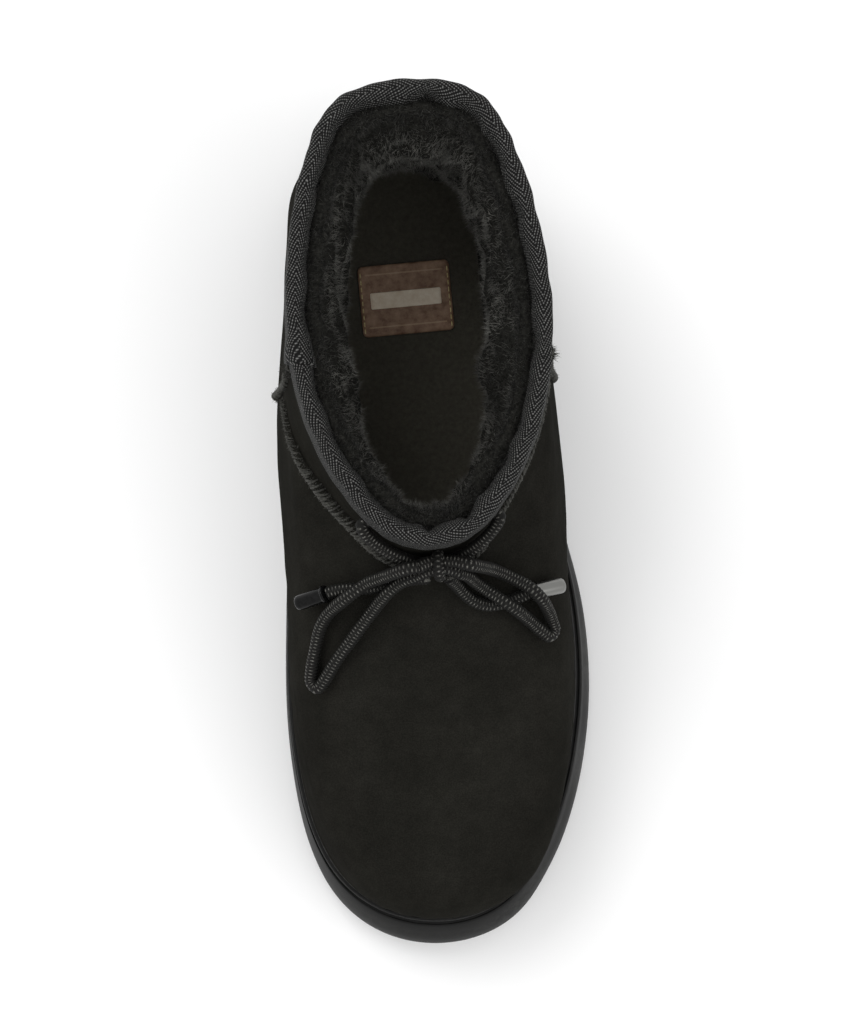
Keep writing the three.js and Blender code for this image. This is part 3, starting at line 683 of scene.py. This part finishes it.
def set_camera():
    place, target, up = (Vector(v) * MM for v in (CAMERA_PLACE, CAMERA_TARGET, CAMERA_UP))
    forward = (target - place).normalized()
    right = forward.cross(up).normalized()
    rotation = Matrix((right, right.cross(forward), -forward)).transposed()
    camera = bpy.data.cameras.new("camera")
    camera.sensor_width = SENSOR
    camera.lens = FOCAL_PIXELS / IMAGE_HEIGHT * SENSOR
    obj = add_object("camera", camera)
    obj.matrix_world = Matrix.Translation(place) @ rotation.to_4x4()
    bpy.context.scene.camera = obj


def area_light(name, place, power, size):
    light = bpy.data.lights.new(name, "AREA")
    light.energy = power
    light.size = size
    obj = add_object(name, light)
    obj.location = place
    obj.rotation_euler = (-Vector(place)).to_track_quat("-Z", "Y").to_euler()


def set_studio():
    scene = bpy.context.scene
    scene.view_settings.view_transform = "Standard"
    world = bpy.data.worlds.new("studio")
    world.use_nodes = True
    background = world.node_tree.nodes["Background"]
    background.inputs[0].default_value = (1.0, 1.0, 1.0, 1.0)
    background.inputs[1].default_value = SURROUND
    scene.world = world
    area_light("key", (-0.7, 0.9, 1.5), 12.0, 0.9)
    area_light("fill", (0.9, -0.6, 1.3), 4.0, 1.2)
    mesh = bpy.data.meshes.new("floor")
    corners = [(x * FLOOR, y * FLOOR, 0) for x, y in ((-1, -1), (1, -1), (1, 1), (-1, 1))]
    mesh.from_pydata(corners, [], [(0, 1, 2, 3)])
    floor = add_object("floor", mesh)
    paper = Shader("paper", rough=0.9, specular=0.1)
    paper.put("Base Color", (0.93, 0.93, 0.93, 1.0))
    mesh.materials.append(paper.material)


# Lace

BRAID_STRANDS, BRAID_PITCH, BRAID_RELIEF = 3, 1.15, 0.32
CORD_STEP, CORD_SIDES, CORD_DRAWN = 0.25, 24, 2.1
TIP_SWELL, TIP_SIDES = 1.08, 36
# The knot, from its middle: one strand wrapped upright over the two that cross beneath it, with their radii
KNOT = [
    ([(0.2, 3.0, -1.6), (-0.2, 2.3, 1.6), (-0.3, -0.2, 2.6), (-0.1, -2.9, 1.5), (0.4, -3.9, -1.0),
      (0.6, -2.2, -3.2)], 1.85),
    ([(-6.6, -0.4, 2.6), (-3.4, 0.7, 1.5), (0, 1.0, 0.6), (3.4, 0.8, 1.4), (6.4, 0.4, 2.3)], CORD_DRAWN),
    ([(-6.4, -3.0, -2.0), (-3.2, -1.8, -0.8), (0, -1.4, -0.2), (3.2, -1.8, -0.6), (6.4, -3.0, -1.8)],
     CORD_DRAWN),
]


def braid(run, angle):
    """Relief of a braided cord: diamonds between two sets of crossing strands."""
    one = (BRAID_STRANDS * angle + 2 * np.pi * run / BRAID_PITCH) / 2
    two = (BRAID_STRANDS * angle - 2 * np.pi * run / BRAID_PITCH) / 2
    return np.abs(np.cos(one) * np.cos(two)) ** 0.55


def braided_tube(route, radius):
    path, run = centripetal(route, CORD_STEP)
    angle = 2 * np.pi * np.arange(CORD_SIDES) / CORD_SIDES
    relief = braid(run[:, None], angle[None])
    swell = 1 + 0.025 * np.sin(run / 2.3)[:, None] + 0.02 * np.sin(run / 5.1 + 1)[:, None]
    vertices, faces = tube_arrays(path, (radius - BRAID_RELIEF * (1 - relief)) * swell, CORD_SIDES)
    # Painted shade: the light flecks are dimmed towards the cord's two sides and kept full on its top and
    # underside
    rows = relief * (0.66 + 0.34 * np.sin(angle)[None] ** 2)
    return vertices, faces, rows.ravel(), path


def cord_piece(name, *routes):
    """A piece of the lace from routes with their radii, and the path of the first."""
    tubes = [braided_tube(route, radius) for route, radius in routes]
    vertices, faces = merge([tube[:2] for tube in tubes])
    relief = np.concatenate([tube[2] for tube in tubes])
    piece = finish_mesh(name, vertices, faces, CORD_BLACK, "lace_cord", relief=relief)
    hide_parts(f"lace_{name}")
    return piece, tubes[0][3]


def aglet_piece(side, ends, bright):
    """A crimped metal tip: a rim where it grips the cord and a rounded far end."""
    start, end = (np.array(p, float) for p in ends)
    length = np.linalg.norm(end - start)
    profile = np.array([
        (0.05, 2.35), (0.1, 2.6), (0.5, 2.68), (0.9, 2.62), (1.1, 2.3), (1.5, 2.25), (3.0, 2.3),
        (length - 1.6, 2.3), (length - 0.7, 2.2), (length - 0.25, 1.95), (length - 0.02, 1.4), (length, 0.6),
    ])
    path = start + unit(end - start) * profile[:, :1]
    tube = tube_arrays(path, TIP_SWELL * profile[:, 1], TIP_SIDES)
    piece = finish_mesh(f"tip_{side}", *tube, tip_material(bright), "aglet_metal")
    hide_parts(f"aglet_{side}")
    return piece


def make_lace():
    knot, _ = cord_piece("knot", *((np.add(KNOT_PLACE, route), drawn) for route, drawn in KNOT))
    cord_piece("bar", (LACE_BAR, CORD_DRAWN))
    # Both tips are one metal: the inner one is its shaded copy, painted dark, and the outer one is bare
    # bright metal
    tips = [aglet_piece("medial", AGLET_MEDIAL, False), aglet_piece("lateral", AGLET_LATERAL, True)]
    for name, route, far_end, with_pieces in (
        ("loop_medial", LOOP_MEDIAL, "object", [knot]), ("loop_lateral", LOOP_LATERAL, "object", []),
        ("end_medial", END_MEDIAL, "fitting", tips[:1]), ("end_lateral", END_LATERAL, "fitting", tips[1:]),
    ):
        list(cord_piece(name, (route, CORD_DRAWN)))


# Upper

AROUND = 300
# Columns: height, level, its slope with the turn, the slope's pivot, breadth, middle turn, length
CREASES = [
    (-0.9, 9.35, 5, 0.39, 0.3, 0.36, 0.05), (-0.8, 9.2, -5, 0.61, 0.3, 0.64, 0.05),
    (-0.45, 7.4, 14, 0.44, 0.28, 0.44, 0.035), (-0.45, 7.2, -14, 0.56, 0.28, 0.56, 0.035),
    (-0.5, 6.0, 10, 0.05, 0.35, 0.06, 0.04),
]
# Columns: height, level, breadth, first turn, over how much it grows, last turn, over how much it fades
PLEATS = [
    (-0.55, 10.42, 0.1, 0.33, 0.05, 0.49, 0.03), (0.35, 10.62, 0.12, 0.33, 0.05, 0.49, 0.03),
    (-0.4, 10.2, 0.12, 0.53, 0.03, 0.66, 0.05),
]


def make_upper():
    """The suede, one closed wall, with soft swells, a crease at the ankle and one across the vamp."""
    turn = np.arange(AROUND) / AROUND
    outer = np.concatenate([np.linspace(0, 1, 4)[:-1], np.linspace(1, TOP, 118)])
    inner = np.concatenate([np.linspace(TOP, 1, 22), [0.5, 0.0]])
    t, level = grid(turn, outer)
    place = upper_point(t, level)
    soft = smooth((level - 1.1) / 1.2) * smooth((TOP - 0.9 - level) / 0.8)
    swell = 0.42 * noise(place, 24, 1) + 0.16 * noise(place, 9, 2)
    pucker = 0.22 * np.sin(2 * np.pi * 58 * t) * bump(level, 1.9, 0.5)
    creases = 0.0
    for high, at, slope, pivot, tall, centre, wide in CREASES:
        creases = creases + high * bump(level, at + slope * (t - pivot), tall) * bump(t, centre, wide)
    for high, at, tall, start, rise, end, fall in PLEATS:
        pleat = high * bump(level, at, tall) * smooth((t - start) / rise)
        creases = creases + pleat * smooth((end - t) / fall)
    snug = SNUG * bump(level, 1.22, 0.13)
    skin = on_upper(t, level, snug + soft * (swell + pucker + creases))
    t2, level2 = grid(turn, inner)
    back = on_upper(t2, level2, -UPPER_WALL)
    piece = grid_piece("suede_upper", [skin, back], SUEDE, "suede")
    pierce(piece)
    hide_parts("upper")


def pierce(piece):
    """Cuts the two holes that the lace comes out of."""
    for side in (-1, 1):
        turn, level = find_on_upper(side, EYELET["along"], EYELET["height"])
        point, out, _ = upper_frame(turn, level)
        path = point + out * np.array([[-4.0], [4.0]])
        vertices, faces = tube_arrays(path, EYELET["radius"], 32)
        mesh = bpy.data.meshes.new("punch")
        mesh.from_pydata((vertices * MM).tolist(), [], faces)
        punch = add_object("punch", mesh)
        cut = piece.modifiers.new("cut", "BOOLEAN")
        cut.operation = "DIFFERENCE"
        cut.solver = "EXACT"
        cut.object = punch
        apply_modifiers(piece)
        bpy.data.objects.remove(punch)


def apply_modifiers(obj):
    view = bpy.context.evaluated_depsgraph_get()
    mesh = bpy.data.meshes.new_from_object(obj.evaluated_get(view))
    obj.modifiers.clear()
    obj.data = mesh


# Seams

SEAM_STEP, STITCH_STEP = 0.5, 1.05
FUZZ_HAIRS, TUFT_HAIRS = (7000, 900, 900), 260


def seam_path(rows):
    """Points, outward directions and run of a seam given as (side, place, height) rows."""
    spots = np.array([find_on_upper(*row) for row in rows])
    rough = upper_point(spots[:, 0], spots[:, 1])
    run = run_along(rough)
    table = np.column_stack([run, spots])
    at = np.linspace(0, run[-1], int(run[-1] / SEAM_STEP) + 1)
    point, out, _ = upper_frame(along(table, 1, at), along(table, 2, at))
    return point, out, at


def seam_piece(name, node, rows, height, slim=1.0, start_slim=1.0):
    """Two edges of hide stood up together and whipped over with a light, fuzzy thread."""
    point, out, run = seam_path(rows)
    across = unit(np.cross(out, np.gradient(point, axis=0)))
    share = run / run[-1]
    tall = height(share)
    turn = np.linspace(0, 1, 25)[:-1]
    wide = np.cos(2 * np.pi * turn)
    high = np.sin(2 * np.pi * turn)
    cleft = 0.4 * bump(wide, 0, 0.22) * (high > 0)
    slim = slim * mix(start_slim, 1.0, smooth(share / 0.3))
    half = slim * (SEAM_WIDTH / 2 - 0.3) * (0.45 + 0.55 * tall / SEAM_HEIGHT)
    body = point[:, None] + across[:, None] * (half[:, None] * wide)[..., None]
    rise = np.where(high > 0, tall[:, None] * high[None, :] ** 0.9 - cleft, 0.7 * high)
    rise = rise + 0.22 * noise(body, 2.2, 4) * (high > 0)
    body = body + out[:, None] * rise[..., None]
    faces = [face[::-1] for face in capped_faces(len(run), len(turn))]
    ridge = finish_mesh(name, body.reshape(-1, 3), faces, SUEDE, "suede")
    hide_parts(node)
    threads = []
    t = np.linspace(-1.1, 1.1, 9)
    for start in np.arange(1.4, run[-1] - 1.6, STITCH_STEP):
        at = start + rng.uniform(0.5, 1.7) * t + rng.normal(0, 0.25)
        p, o, a = (np.stack([np.interp(at, run, v[:, k]) for k in range(3)], 1) for v in (point, out, across))
        reach_out = np.interp(start, run, half) * rng.uniform(0.6, 1.12)
        lift = (np.interp(start, run, tall) + 0.15) * np.sqrt(np.maximum(0, 1 - (t / 1.12) ** 2)) - 0.1
        path = p + a * (t * reach_out)[:, None] + o * lift[:, None]
        thick = rng.uniform(0.36, 0.6) * np.interp(start, run, slim)
        threads.append(tube_arrays(path, thick * (1 - 0.35 * np.abs(t)), 7))
    finish_mesh(f"{name}_stitches", *merge(threads), THREAD, "suede")
    return point, out, across, half, tall


def vamp_seam_height(share):
    """The seam rises from the inner side and sinks away under the collar on the outer side."""
    return mix(0.5, 0.9, smooth(share / 0.3)) * SEAM_HEIGHT * mix(1, 0.42, smooth((share - 0.6) / 0.12))


def make_seams():
    """The vamp's seam and the two side seams, with fuzz along them and a tuft on top of each side seam."""
    vamp = [*((-1, *row) for row in VAMP_SEAM_MEDIAL), *((1, *row) for row in VAMP_SEAM_LATERAL)]
    seams = [seam_piece("vamp_ridge", "vamp_seam", vamp, vamp_seam_height, start_slim=0.5)]
    for name, side in (("medial", -1), ("lateral", 1)):
        seams.append(seam_piece(
            f"side_ridge_{name}", f"side_seam_{name}", [(side, *row) for row in SIDE_SEAM],
            lambda share: np.full_like(share, 0.5 * SEAM_HEIGHT), slim=0.9,
        ))
    hairs = []
    for (point, out, across, half, tall), count in zip(seams, FUZZ_HAIRS):
        i = rng.integers(0, len(point), count)
        w = rng.uniform(-1, 1, count)
        high = tall[i] * np.sqrt(1 - w ** 2) - 0.2
        roots = point[i] + across[i] * (w * half[i])[:, None] + out[i] * high[:, None]
        ways = unit(out[i] + across[i] * w[:, None] * 0.9 + rng.normal(0, 0.6, (count, 3)))
        hairs.append((roots, ways, rng.uniform(0.3, 0.95, count)))
    strands("seam_fuzz", *map(np.concatenate, zip(*hairs)), FUZZ_WIDTH, 0.6, FUZZ, "suede")
    hairs, count = [], TUFT_HAIRS
    for point, out, across, half, tall in seams[1:]:
        near_top = 1 - np.abs(rng.normal(0, 0.05, count)) - 0.04
        i = np.clip((len(point) * near_top).astype(int), 0, len(point) - 1)
        w = rng.uniform(-1, 1, count)
        roots = point[i] + across[i] * (w * half[i])[:, None] + out[i] * (tall[i] * 0.7)[:, None]
        ways = unit(out[i] + [0, 0, -0.35] + rng.normal(0, 0.45, (count, 3)))
        hairs.append((roots, ways, rng.uniform(0.8, 2.1, count)))
    strands("seam_tufts", *map(np.concatenate, zip(*hairs)), FUZZ_WIDTH, 0.5, TUFT, "suede")


# Wool

MOST_SWAY, HAIR_WIDTH, FUZZ_WIDTH, TONE_SPREAD = 0.9, 0.18, 0.2, 0.09
# Columns: height, middle turn, width
WOOL_SWELLS = [
    (1.6, 0.4, 0.18), (1.0, 0.65, 0.08), (-2.2, 0.86, 0.06), (4.2, 0.315, 0.08), (4.4, 0.73, 0.05),
    (2.4, 0.5, 0.06),
]
# Columns: name, lowest and highest level, number of hairs
WOOL_BANDS = [
    ("wool_collar", 10.3, PILE_TOP, 38000), ("wool_shaft", 7.2, 10.6, 50000),
    ("wool_heel", 3.4, 7.6, 44000), ("wool_foot", SOCK + 0.2, 3.8, 34000),
]


def strands(name, roots, ways, lengths, width, curl, material, slot, tone=0.4):
    """Curled hairs as narrow tapering ribbons: a strip with a pointed end on each root."""
    count = len(roots)
    side = unit(np.cross(ways, rng.normal(0, 1, (count, 3))))
    sway = rng.normal(0, curl, (count, 3))
    sway /= np.maximum(1, np.linalg.norm(sway, axis=1, keepdims=True) / MOST_SWAY)
    points = []
    for t, wide in ((0.0, 1.0), (0.6, 0.8)):
        centre = roots + (ways * t + sway * t * t) * lengths[:, None]
        points += [centre - side * width * wide / 2, centre + side * width * wide / 2]
    points.append(roots + (ways + sway) * lengths[:, None])
    first = 5 * np.arange(count)[:, None]
    faces = (first + [0, 1, 3, 2]).tolist() + (first + [2, 3, 4]).tolist()
    shade = np.clip(tone + rng.normal(0, TONE_SPREAD, count), 0, 1)
    # Painted shade at the roots, where the hairs crowd: each hair is darker at its root than at its tip
    shade = np.repeat(shade, 5) * np.tile([0.5, 0.5, 0.9, 0.9, 1], count)
    return finish_mesh(name, np.stack(points, 1).reshape(-1, 3), faces, material, slot, relief=shade)


def pelt_extra(turn, level):
    """How far the loose wool stands out over the solid's pile: least behind the outer ankle."""
    turn = np.mod(turn, 1)
    around = bumps(turn, WOOL_SWELLS, 3.6)
    height = smooth((level - 2.5) / 2) * smooth((11.3 - level) / 2)
    tuft = 2.6 * bump(turn, 0.498, 0.008) * bump(level, 9.6, 0.9)
    return around * height + tuft


def pelt_surface(turn, level):
    """The wool's inner face, with clumps of curls."""
    skin = -UPPER_WALL - GAP
    depth = pile_depth(turn, level) + pelt_extra(turn, level)
    plain = on_upper(turn, level, skin - depth)
    rooted = smooth((level - 0.8) / 1.0)
    clumps = 1.7 * noise(plain, 9.0, 11) + 1.2 * noise(plain, 4.4, 12)
    return on_upper(turn, level, skin - depth - rooted * clumps)


def make_wool():
    turn = np.arange(240) / 240
    t, level = grid(turn, np.linspace(SOCK, PILE_TOP, 96))
    inside = pelt_surface(t, level)[:, ::-1]
    skin = -UPPER_WALL - GAP
    held = skin - TAPE - GAP
    gripped = TOP - (TAPE_INSIDE + GAP) / COLLAR_BAND
    levels = np.concatenate([np.linspace(SOCK, gripped, 26), [gripped, PILE_TOP]])
    distance = np.concatenate([np.full(26, skin), [held - TAPE_LEAN, held - TAPE_LEAN / 2]])
    t2, level2 = grid(turn, levels)
    outside = on_upper(t2, level2, distance)
    pelt = grid_piece("wool_pelt", [outside, inside], PELT, "wool")
    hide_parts("lining")
    for band in WOOL_BANDS:
        wool_strands(*band)


def wool_strands(name, low, high, count):
    """Hairs all over a band of the wool, lying in clumps; some of the collar's grow along the wool's top."""
    turn = rng.random(count)
    if name == "wool_foot":
        turn = np.where(turn < 0.45, rng.normal(0.0, 0.19, count), mix(0.52, 0.95, (turn - 0.45) / 0.55))
    elif name == "wool_heel":
        turn = np.where(turn < 0.3, rng.normal(0.75, 0.1, count), turn / 0.7)
    level = rng.uniform(low, high, count)
    root = pelt_surface(np.mod(turn, 1), level)
    _, out, up = upper_frame(np.mod(turn, 1), level)
    if name == "wool_collar":
        top = rng.random(count) < 0.45
        near = rng.random(count)[:, None]
        skin, rim = (on_upper(turn, PILE_TOP, -UPPER_WALL - deep) for deep in (1.9, 8.4))
        root = np.where(top[:, None], mix(skin, rim, near) - up * 0.5, root)
        lean = np.where(top, 0.75, 0.25)[:, None]
    else:
        top = np.zeros(count, bool)
        lean = 0.1
    clump = np.stack([noise(root, 3.6, seed) for seed in (21, 22, 23)], 1)
    inward = -out * rng.uniform(0.2, 0.9, (count, 1))
    ways = unit(inward + 1.3 * clump + lean * up + rng.normal(0, 0.33, (count, 3)))
    lengths = rng.uniform(0.9, 2.0, count)
    patches = 0.45 + 0.27 * noise(root, 8.5, 31) + 0.2 * noise(root, 3.0, 32)
    # Painted shade under the tape: the hairs that lie along the wool's top are dark, and every hair darkens
    # towards the top
    shade = np.where(top, 0.12, patches) * mix(0.3, 1, smooth((PILE_TOP + 0.05 - level) / 1.1))
    strands(name, root + out * 0.4, ways, lengths, HAIR_WIDTH, 1.0, WOOL, "wool", shade)


# Binding

RUFFLE_RISE = 0.35
# Columns: height, middle turn, width
RUFFLES = [
    (-2.4, 0.492, 0.007), (1.3, 0.521, 0.016), (-2.3, 0.552, 0.007), (1.0, 0.58, 0.014), (0.9, 0.465, 0.016),
    (-1.1, 0.63, 0.008), (-1.9, 0.984, 0.007), (1.1, 0.012, 0.016), (0.8, 0.96, 0.012), (-1.4, 0.868, 0.008),
    (1.1, 0.848, 0.012), (-1.0, 0.06, 0.008), (-1.0, 0.73, 0.01), (0.6, 0.38, 0.02), (-0.9, 0.42, 0.008),
]


def make_binding():
    """A woven tape folded over the collar's edge, its inner side spread over the wool in soft waves."""
    outer, inner = GAP + TAPE, -UPPER_WALL - GAP
    turn = np.unique(np.concatenate([np.arange(480) / 480, np.linspace(0.266, 0.292, 50)]))
    wavy = 0.5 * np.sin(2 * np.pi * 19 * turn + 0.6) + 0.4 * np.sin(2 * np.pi * 31 * turn + 2)
    ruffle = bumps(turn, RUFFLES, wavy)
    outward = 0.16 * np.sin(2 * np.pi * 23 * turn) + 0.12 * np.sin(2 * np.pi * 41 * turn + 1)
    profile = np.array([
        (outer, -TAPE_OUTSIDE, 0.4, 0), (outer, -TAPE_OUTSIDE / 2, 0.7, 0), (outer, 0.3 * TAPE_CROWN, 1, 0),
        (outer - 0.8, 0.8 * TAPE_CROWN, 1, 0), (-UPPER_WALL / 2, TAPE_CROWN, 0.8, 0.1),
        (inner - TAPE + 0.5, 0.8 * TAPE_CROWN, 0.5, 0.25), (inner - TAPE - 0.5, 0.15 * TAPE_CROWN, 0, 0.45),
        (inner - TAPE - TAPE_LEAN * 0.55, -TAPE_INSIDE * 0.5, 0, 0.75),
        (inner - TAPE - TAPE_LEAN, -TAPE_INSIDE, 0, 1),
    ])
    run = run_along(profile[:, :2])
    table = np.column_stack([run, profile])
    v = np.linspace(0, run[-1], 44)
    distance, rise, sways, waves = (along(table, k, v) for k in (1, 2, 3, 4))
    t, column = grid(turn, np.arange(len(v)))
    cut = 0.274 + 0.012 * column / len(v)
    lap = 1.3 * smooth((t - 0.248) / 0.026) * smooth((cut - t) / 0.0007)
    face_out = distance[column] + outward[:, None] * sways[column] - ruffle[:, None] * waves[column]
    face_rise = rise[column] - RUFFLE_RISE * ruffle[:, None] * waves[column] * (rise[column] < 0)
    crowned = smooth((rise[column] + 1.0) / 2.0)
    side = np.where(distance[column] > -1, 1.0, -1.0)
    face = over_collar(t, face_out + lap * side * (1 - 0.6 * crowned), face_rise + lap * crowned)
    under = np.array([
        (inner - TAPE_LEAN, -TAPE_INSIDE), (inner, -0.4), (inner + 0.1, GAP), (GAP, GAP),
        (GAP, -TAPE_OUTSIDE),
    ])
    t2, k2 = grid(turn, np.arange(len(under)))
    waved = ruffle[:, None] * (k2 == 0)
    back = over_collar(t2, under[k2, 0] - waved, under[k2, 1] - RUFFLE_RISE * waved)
    edge = upper_point(turn, TOP)
    us = run_along(np.vstack([edge, edge[:1]]))
    vs = np.concatenate([v, v[-1] + np.arange(1, len(under) + 2)])
    piece = grid_piece("tape", [face, back], TAPE_CLOTH, "binding_tape", us, vs)
    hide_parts("collar_binding")


# Sole

PROUD, WALL_RISE = 0.12, 26
# Columns: strength, middle turn, width
SCUFFS = [(0.36, 0.692, 0.016), (0.36, 0.648, 0.013), (0.2, 0.56, 0.05), (0.16, 0.42, 0.05)]
# Columns: rise, how far past the foot of the lip the edge is drawn in
RIM = [
    (0.868, -2.2), (0.886, -1.5), (0.872, -1.15), (0.866, -0.85), (0.878, -0.5), (0.92, -0.32), (0.965, -0.1),
    (0.985, 0.1), (0.99, 0.38), (0.979, 0.56), (0.978, 0.74), (0.99, 0.92), (1.003, 1.15), (1.002, 1.6),
]


def make_sole():
    """A smooth skin over the sole's wall, with the rim's bead, its scored line and the groove under it."""
    turn = np.arange(AROUND) / AROUND
    flares = list(FLARE.values())
    spans = [flare - LIP_WIDTH for flare in flares]
    rows = [(rise, *(tuck + lean * span for span in spans)) for rise, lean, tuck in SIDEWALL]
    for rise, tuck in RIM:
        rows.append((rise, *(span + tuck * (1 if tuck > 0 else min(1, span / 6)) for span in spans)))
    rows = np.array(rows)
    run = run_along((rows * [WALL_RISE, 1, 1, 1, 1])[:, [0, 4]])
    foot = run[len(SIDEWALL)]
    table = np.column_stack([run, rows])
    v = np.unique(np.concatenate([np.linspace(0, foot, 26), np.linspace(foot, run[-1], 50), run]))
    rise, *edges = (along(table, k, v) for k in range(1, 6))
    t, k = grid(turn, np.arange(len(v)))
    face = sole_point(t, rise[k], tuple(edge[k] - PROUD for edge in edges))
    deep = tuple(np.minimum(edge[k] + 1.6, flare - 0.2) for edge, flare in zip(edges, flares))
    inner = sole_point(t, np.clip(rise[k], 0.03, 0.96), deep)[:, ::-6]
    scuffs = bumps(t, SCUFFS)
    tucked = (edges[3] - spans[3])[k]
    # How far to lighten the rubber: scuffs of wear on the middle of the wall, a lighter line along the bead,
    # and painted light on the lip's top, where shade falls in the gap beside the upper
    wear_and_painted_light = (
        (0.04 + scuffs) * bump(rise[k], 0.62, 0.2) + 0.2 * bump(tucked, 0.2, 0.2)
        + 0.42 * bump(tucked, 1.15, 0.5)
    )
    wear_and_painted_light = np.concatenate([wear_and_painted_light, np.zeros_like(inner[..., 0])], 1).T
    grid_piece("sole_wall", [face, inner], RUBBER_WALL, "sole_rubber", relief=wear_and_painted_light)
    repaint("sole", RUBBER)


def repaint(node, material):
    data = nodes[node].data
    data.materials.clear()
    data.materials.append(material)


# Insole and label

NAP_HAIRS = 6000
BAND_WIDTH, BAND_LENGTH, LINE_WIDTH, LINE_LENGTH, LINE_PLACE = 23.5, 5.4, 26, 0.5, 8.7


def make_insole():
    repaint("insole", FELT)
    turn = rng.random(NAP_HAIRS)
    inward = rng.uniform(0.0, 0.97, NAP_HAIRS) ** 0.5
    edge = on_upper(turn, 0.0, -UPPER_WALL - 2.0)
    x = mix(MIDDLE, edge[:, 0], inward)
    y = edge[:, 1]
    free = ~in_label(x, y, 0.5)
    roots = np.column_stack([x, y, insole_height(share_at(y))])[free]
    ways = unit(np.column_stack([rng.normal(0, 0.8, (len(roots), 2)), np.full(len(roots), 0.7)]))
    lengths = rng.uniform(0.6, 1.4, len(roots))
    strands("insole_nap", roots, ways, lengths, FUZZ_WIDTH, 0.4, FELT, "insole_felt")


def label_place(u, v, height):
    """A point over the label: u across it, v along it, in millimetres from its middle."""
    angle = np.radians(LABEL["turn"])
    x = MIDDLE + LABEL["across"] + u * np.cos(angle) - v * np.sin(angle)
    y = LABEL["back"] + u * np.sin(angle) + v * np.cos(angle)
    return np.stack([x, y, insole_height(share_at(y)) + height], -1)


def in_label(x, y, margin):
    wide = np.abs(x - MIDDLE - LABEL["across"]) < LABEL["width"] / 2 + margin
    return wide & (np.abs(y - LABEL["back"]) < LABEL["length"] / 2 + margin)


def patch(name, width, length, corner, bottom, top, material, centre=(0, 0), curl=0.0):
    """A thin sheet with rounded corners on the insole."""
    a = np.linspace(0, 2 * np.pi, 97)[:-1]
    du = np.sign(np.cos(a)) * (width / 2 - corner) + corner * np.cos(a)
    dv = np.sign(np.sin(a)) * (length / 2 - corner) + corner * np.sin(a)
    levels = (0.98, bottom), (1.0, (bottom + top) / 2), (0.985, top), (0.9, top), (0.5, top), (0.12, top)
    rings = []
    for scale, height in levels:
        u, v = du * scale + centre[0], dv * scale + centre[1]
        lift = curl * ((u / width * 2) ** 10 + (v / length * 2) ** 10) * (scale > 0.6)
        rings.append(label_place(u, v, height + lift))
    faces = capped_faces(len(rings), len(a))
    return finish_mesh(name, np.concatenate(rings), faces, material, "label_leather")


def make_label():
    brown = leather_material("label_leather", (0.16, 0.09, 0.055), (0.42, 0.275, 0.185))
    pale = leather_material("label_band", (0.75, 0.62, 0.46), (0.95, 0.86, 0.72))
    line = leather_material("label_line", (0.36, 0.24, 0.15), (0.5, 0.36, 0.25))
    top = GAP + LABEL["thickness"]
    wide, long = LABEL["width"] - 0.6, LABEL["length"] - 0.6
    piece = patch("label", wide, long, 1.8, GAP - 0.25, top, brown, curl=0.25)
    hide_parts("insole_label")
    low, high = top - 0.2, top + 0.2
    patch("label_band", BAND_WIDTH, BAND_LENGTH, 0.5, low, high, pale)
    for name, v in (("front", -LINE_PLACE), ("back", LINE_PLACE)):
        patch(f"label_line_{name}", LINE_WIDTH, LINE_LENGTH, 0.2, low, high, line, centre=(0, v))
    threads = []
    for u in (-wide / 2 + 0.8, wide / 2 - 0.8):
        for v in np.arange(-long / 2 + 2, long / 2 - 1.5, 2.3):
            t = np.linspace(-1, 1, 7)
            path = label_place(np.full(7, u), v + t * 0.8, top + 0.32 * (1 - t ** 2) - 0.05)
            threads.append(tube_arrays(path, 0.22, 6, first=(1, 0, 0)))
    yellow = Shader("label_thread", rough=0.6, specular=0.3)
    yellow.colour(yellow.grain(0.5), (0.3, (0.5, 0.4, 0.16)), (0.7, (0.75, 0.66, 0.35)))
    finish_mesh("label_stitches", *merge(threads), yellow.material, "label_leather")


set_camera()
set_studio()
make_lace()
make_upper()
make_seams()
make_binding()
make_wool()
make_sole()
make_insole()
make_label()
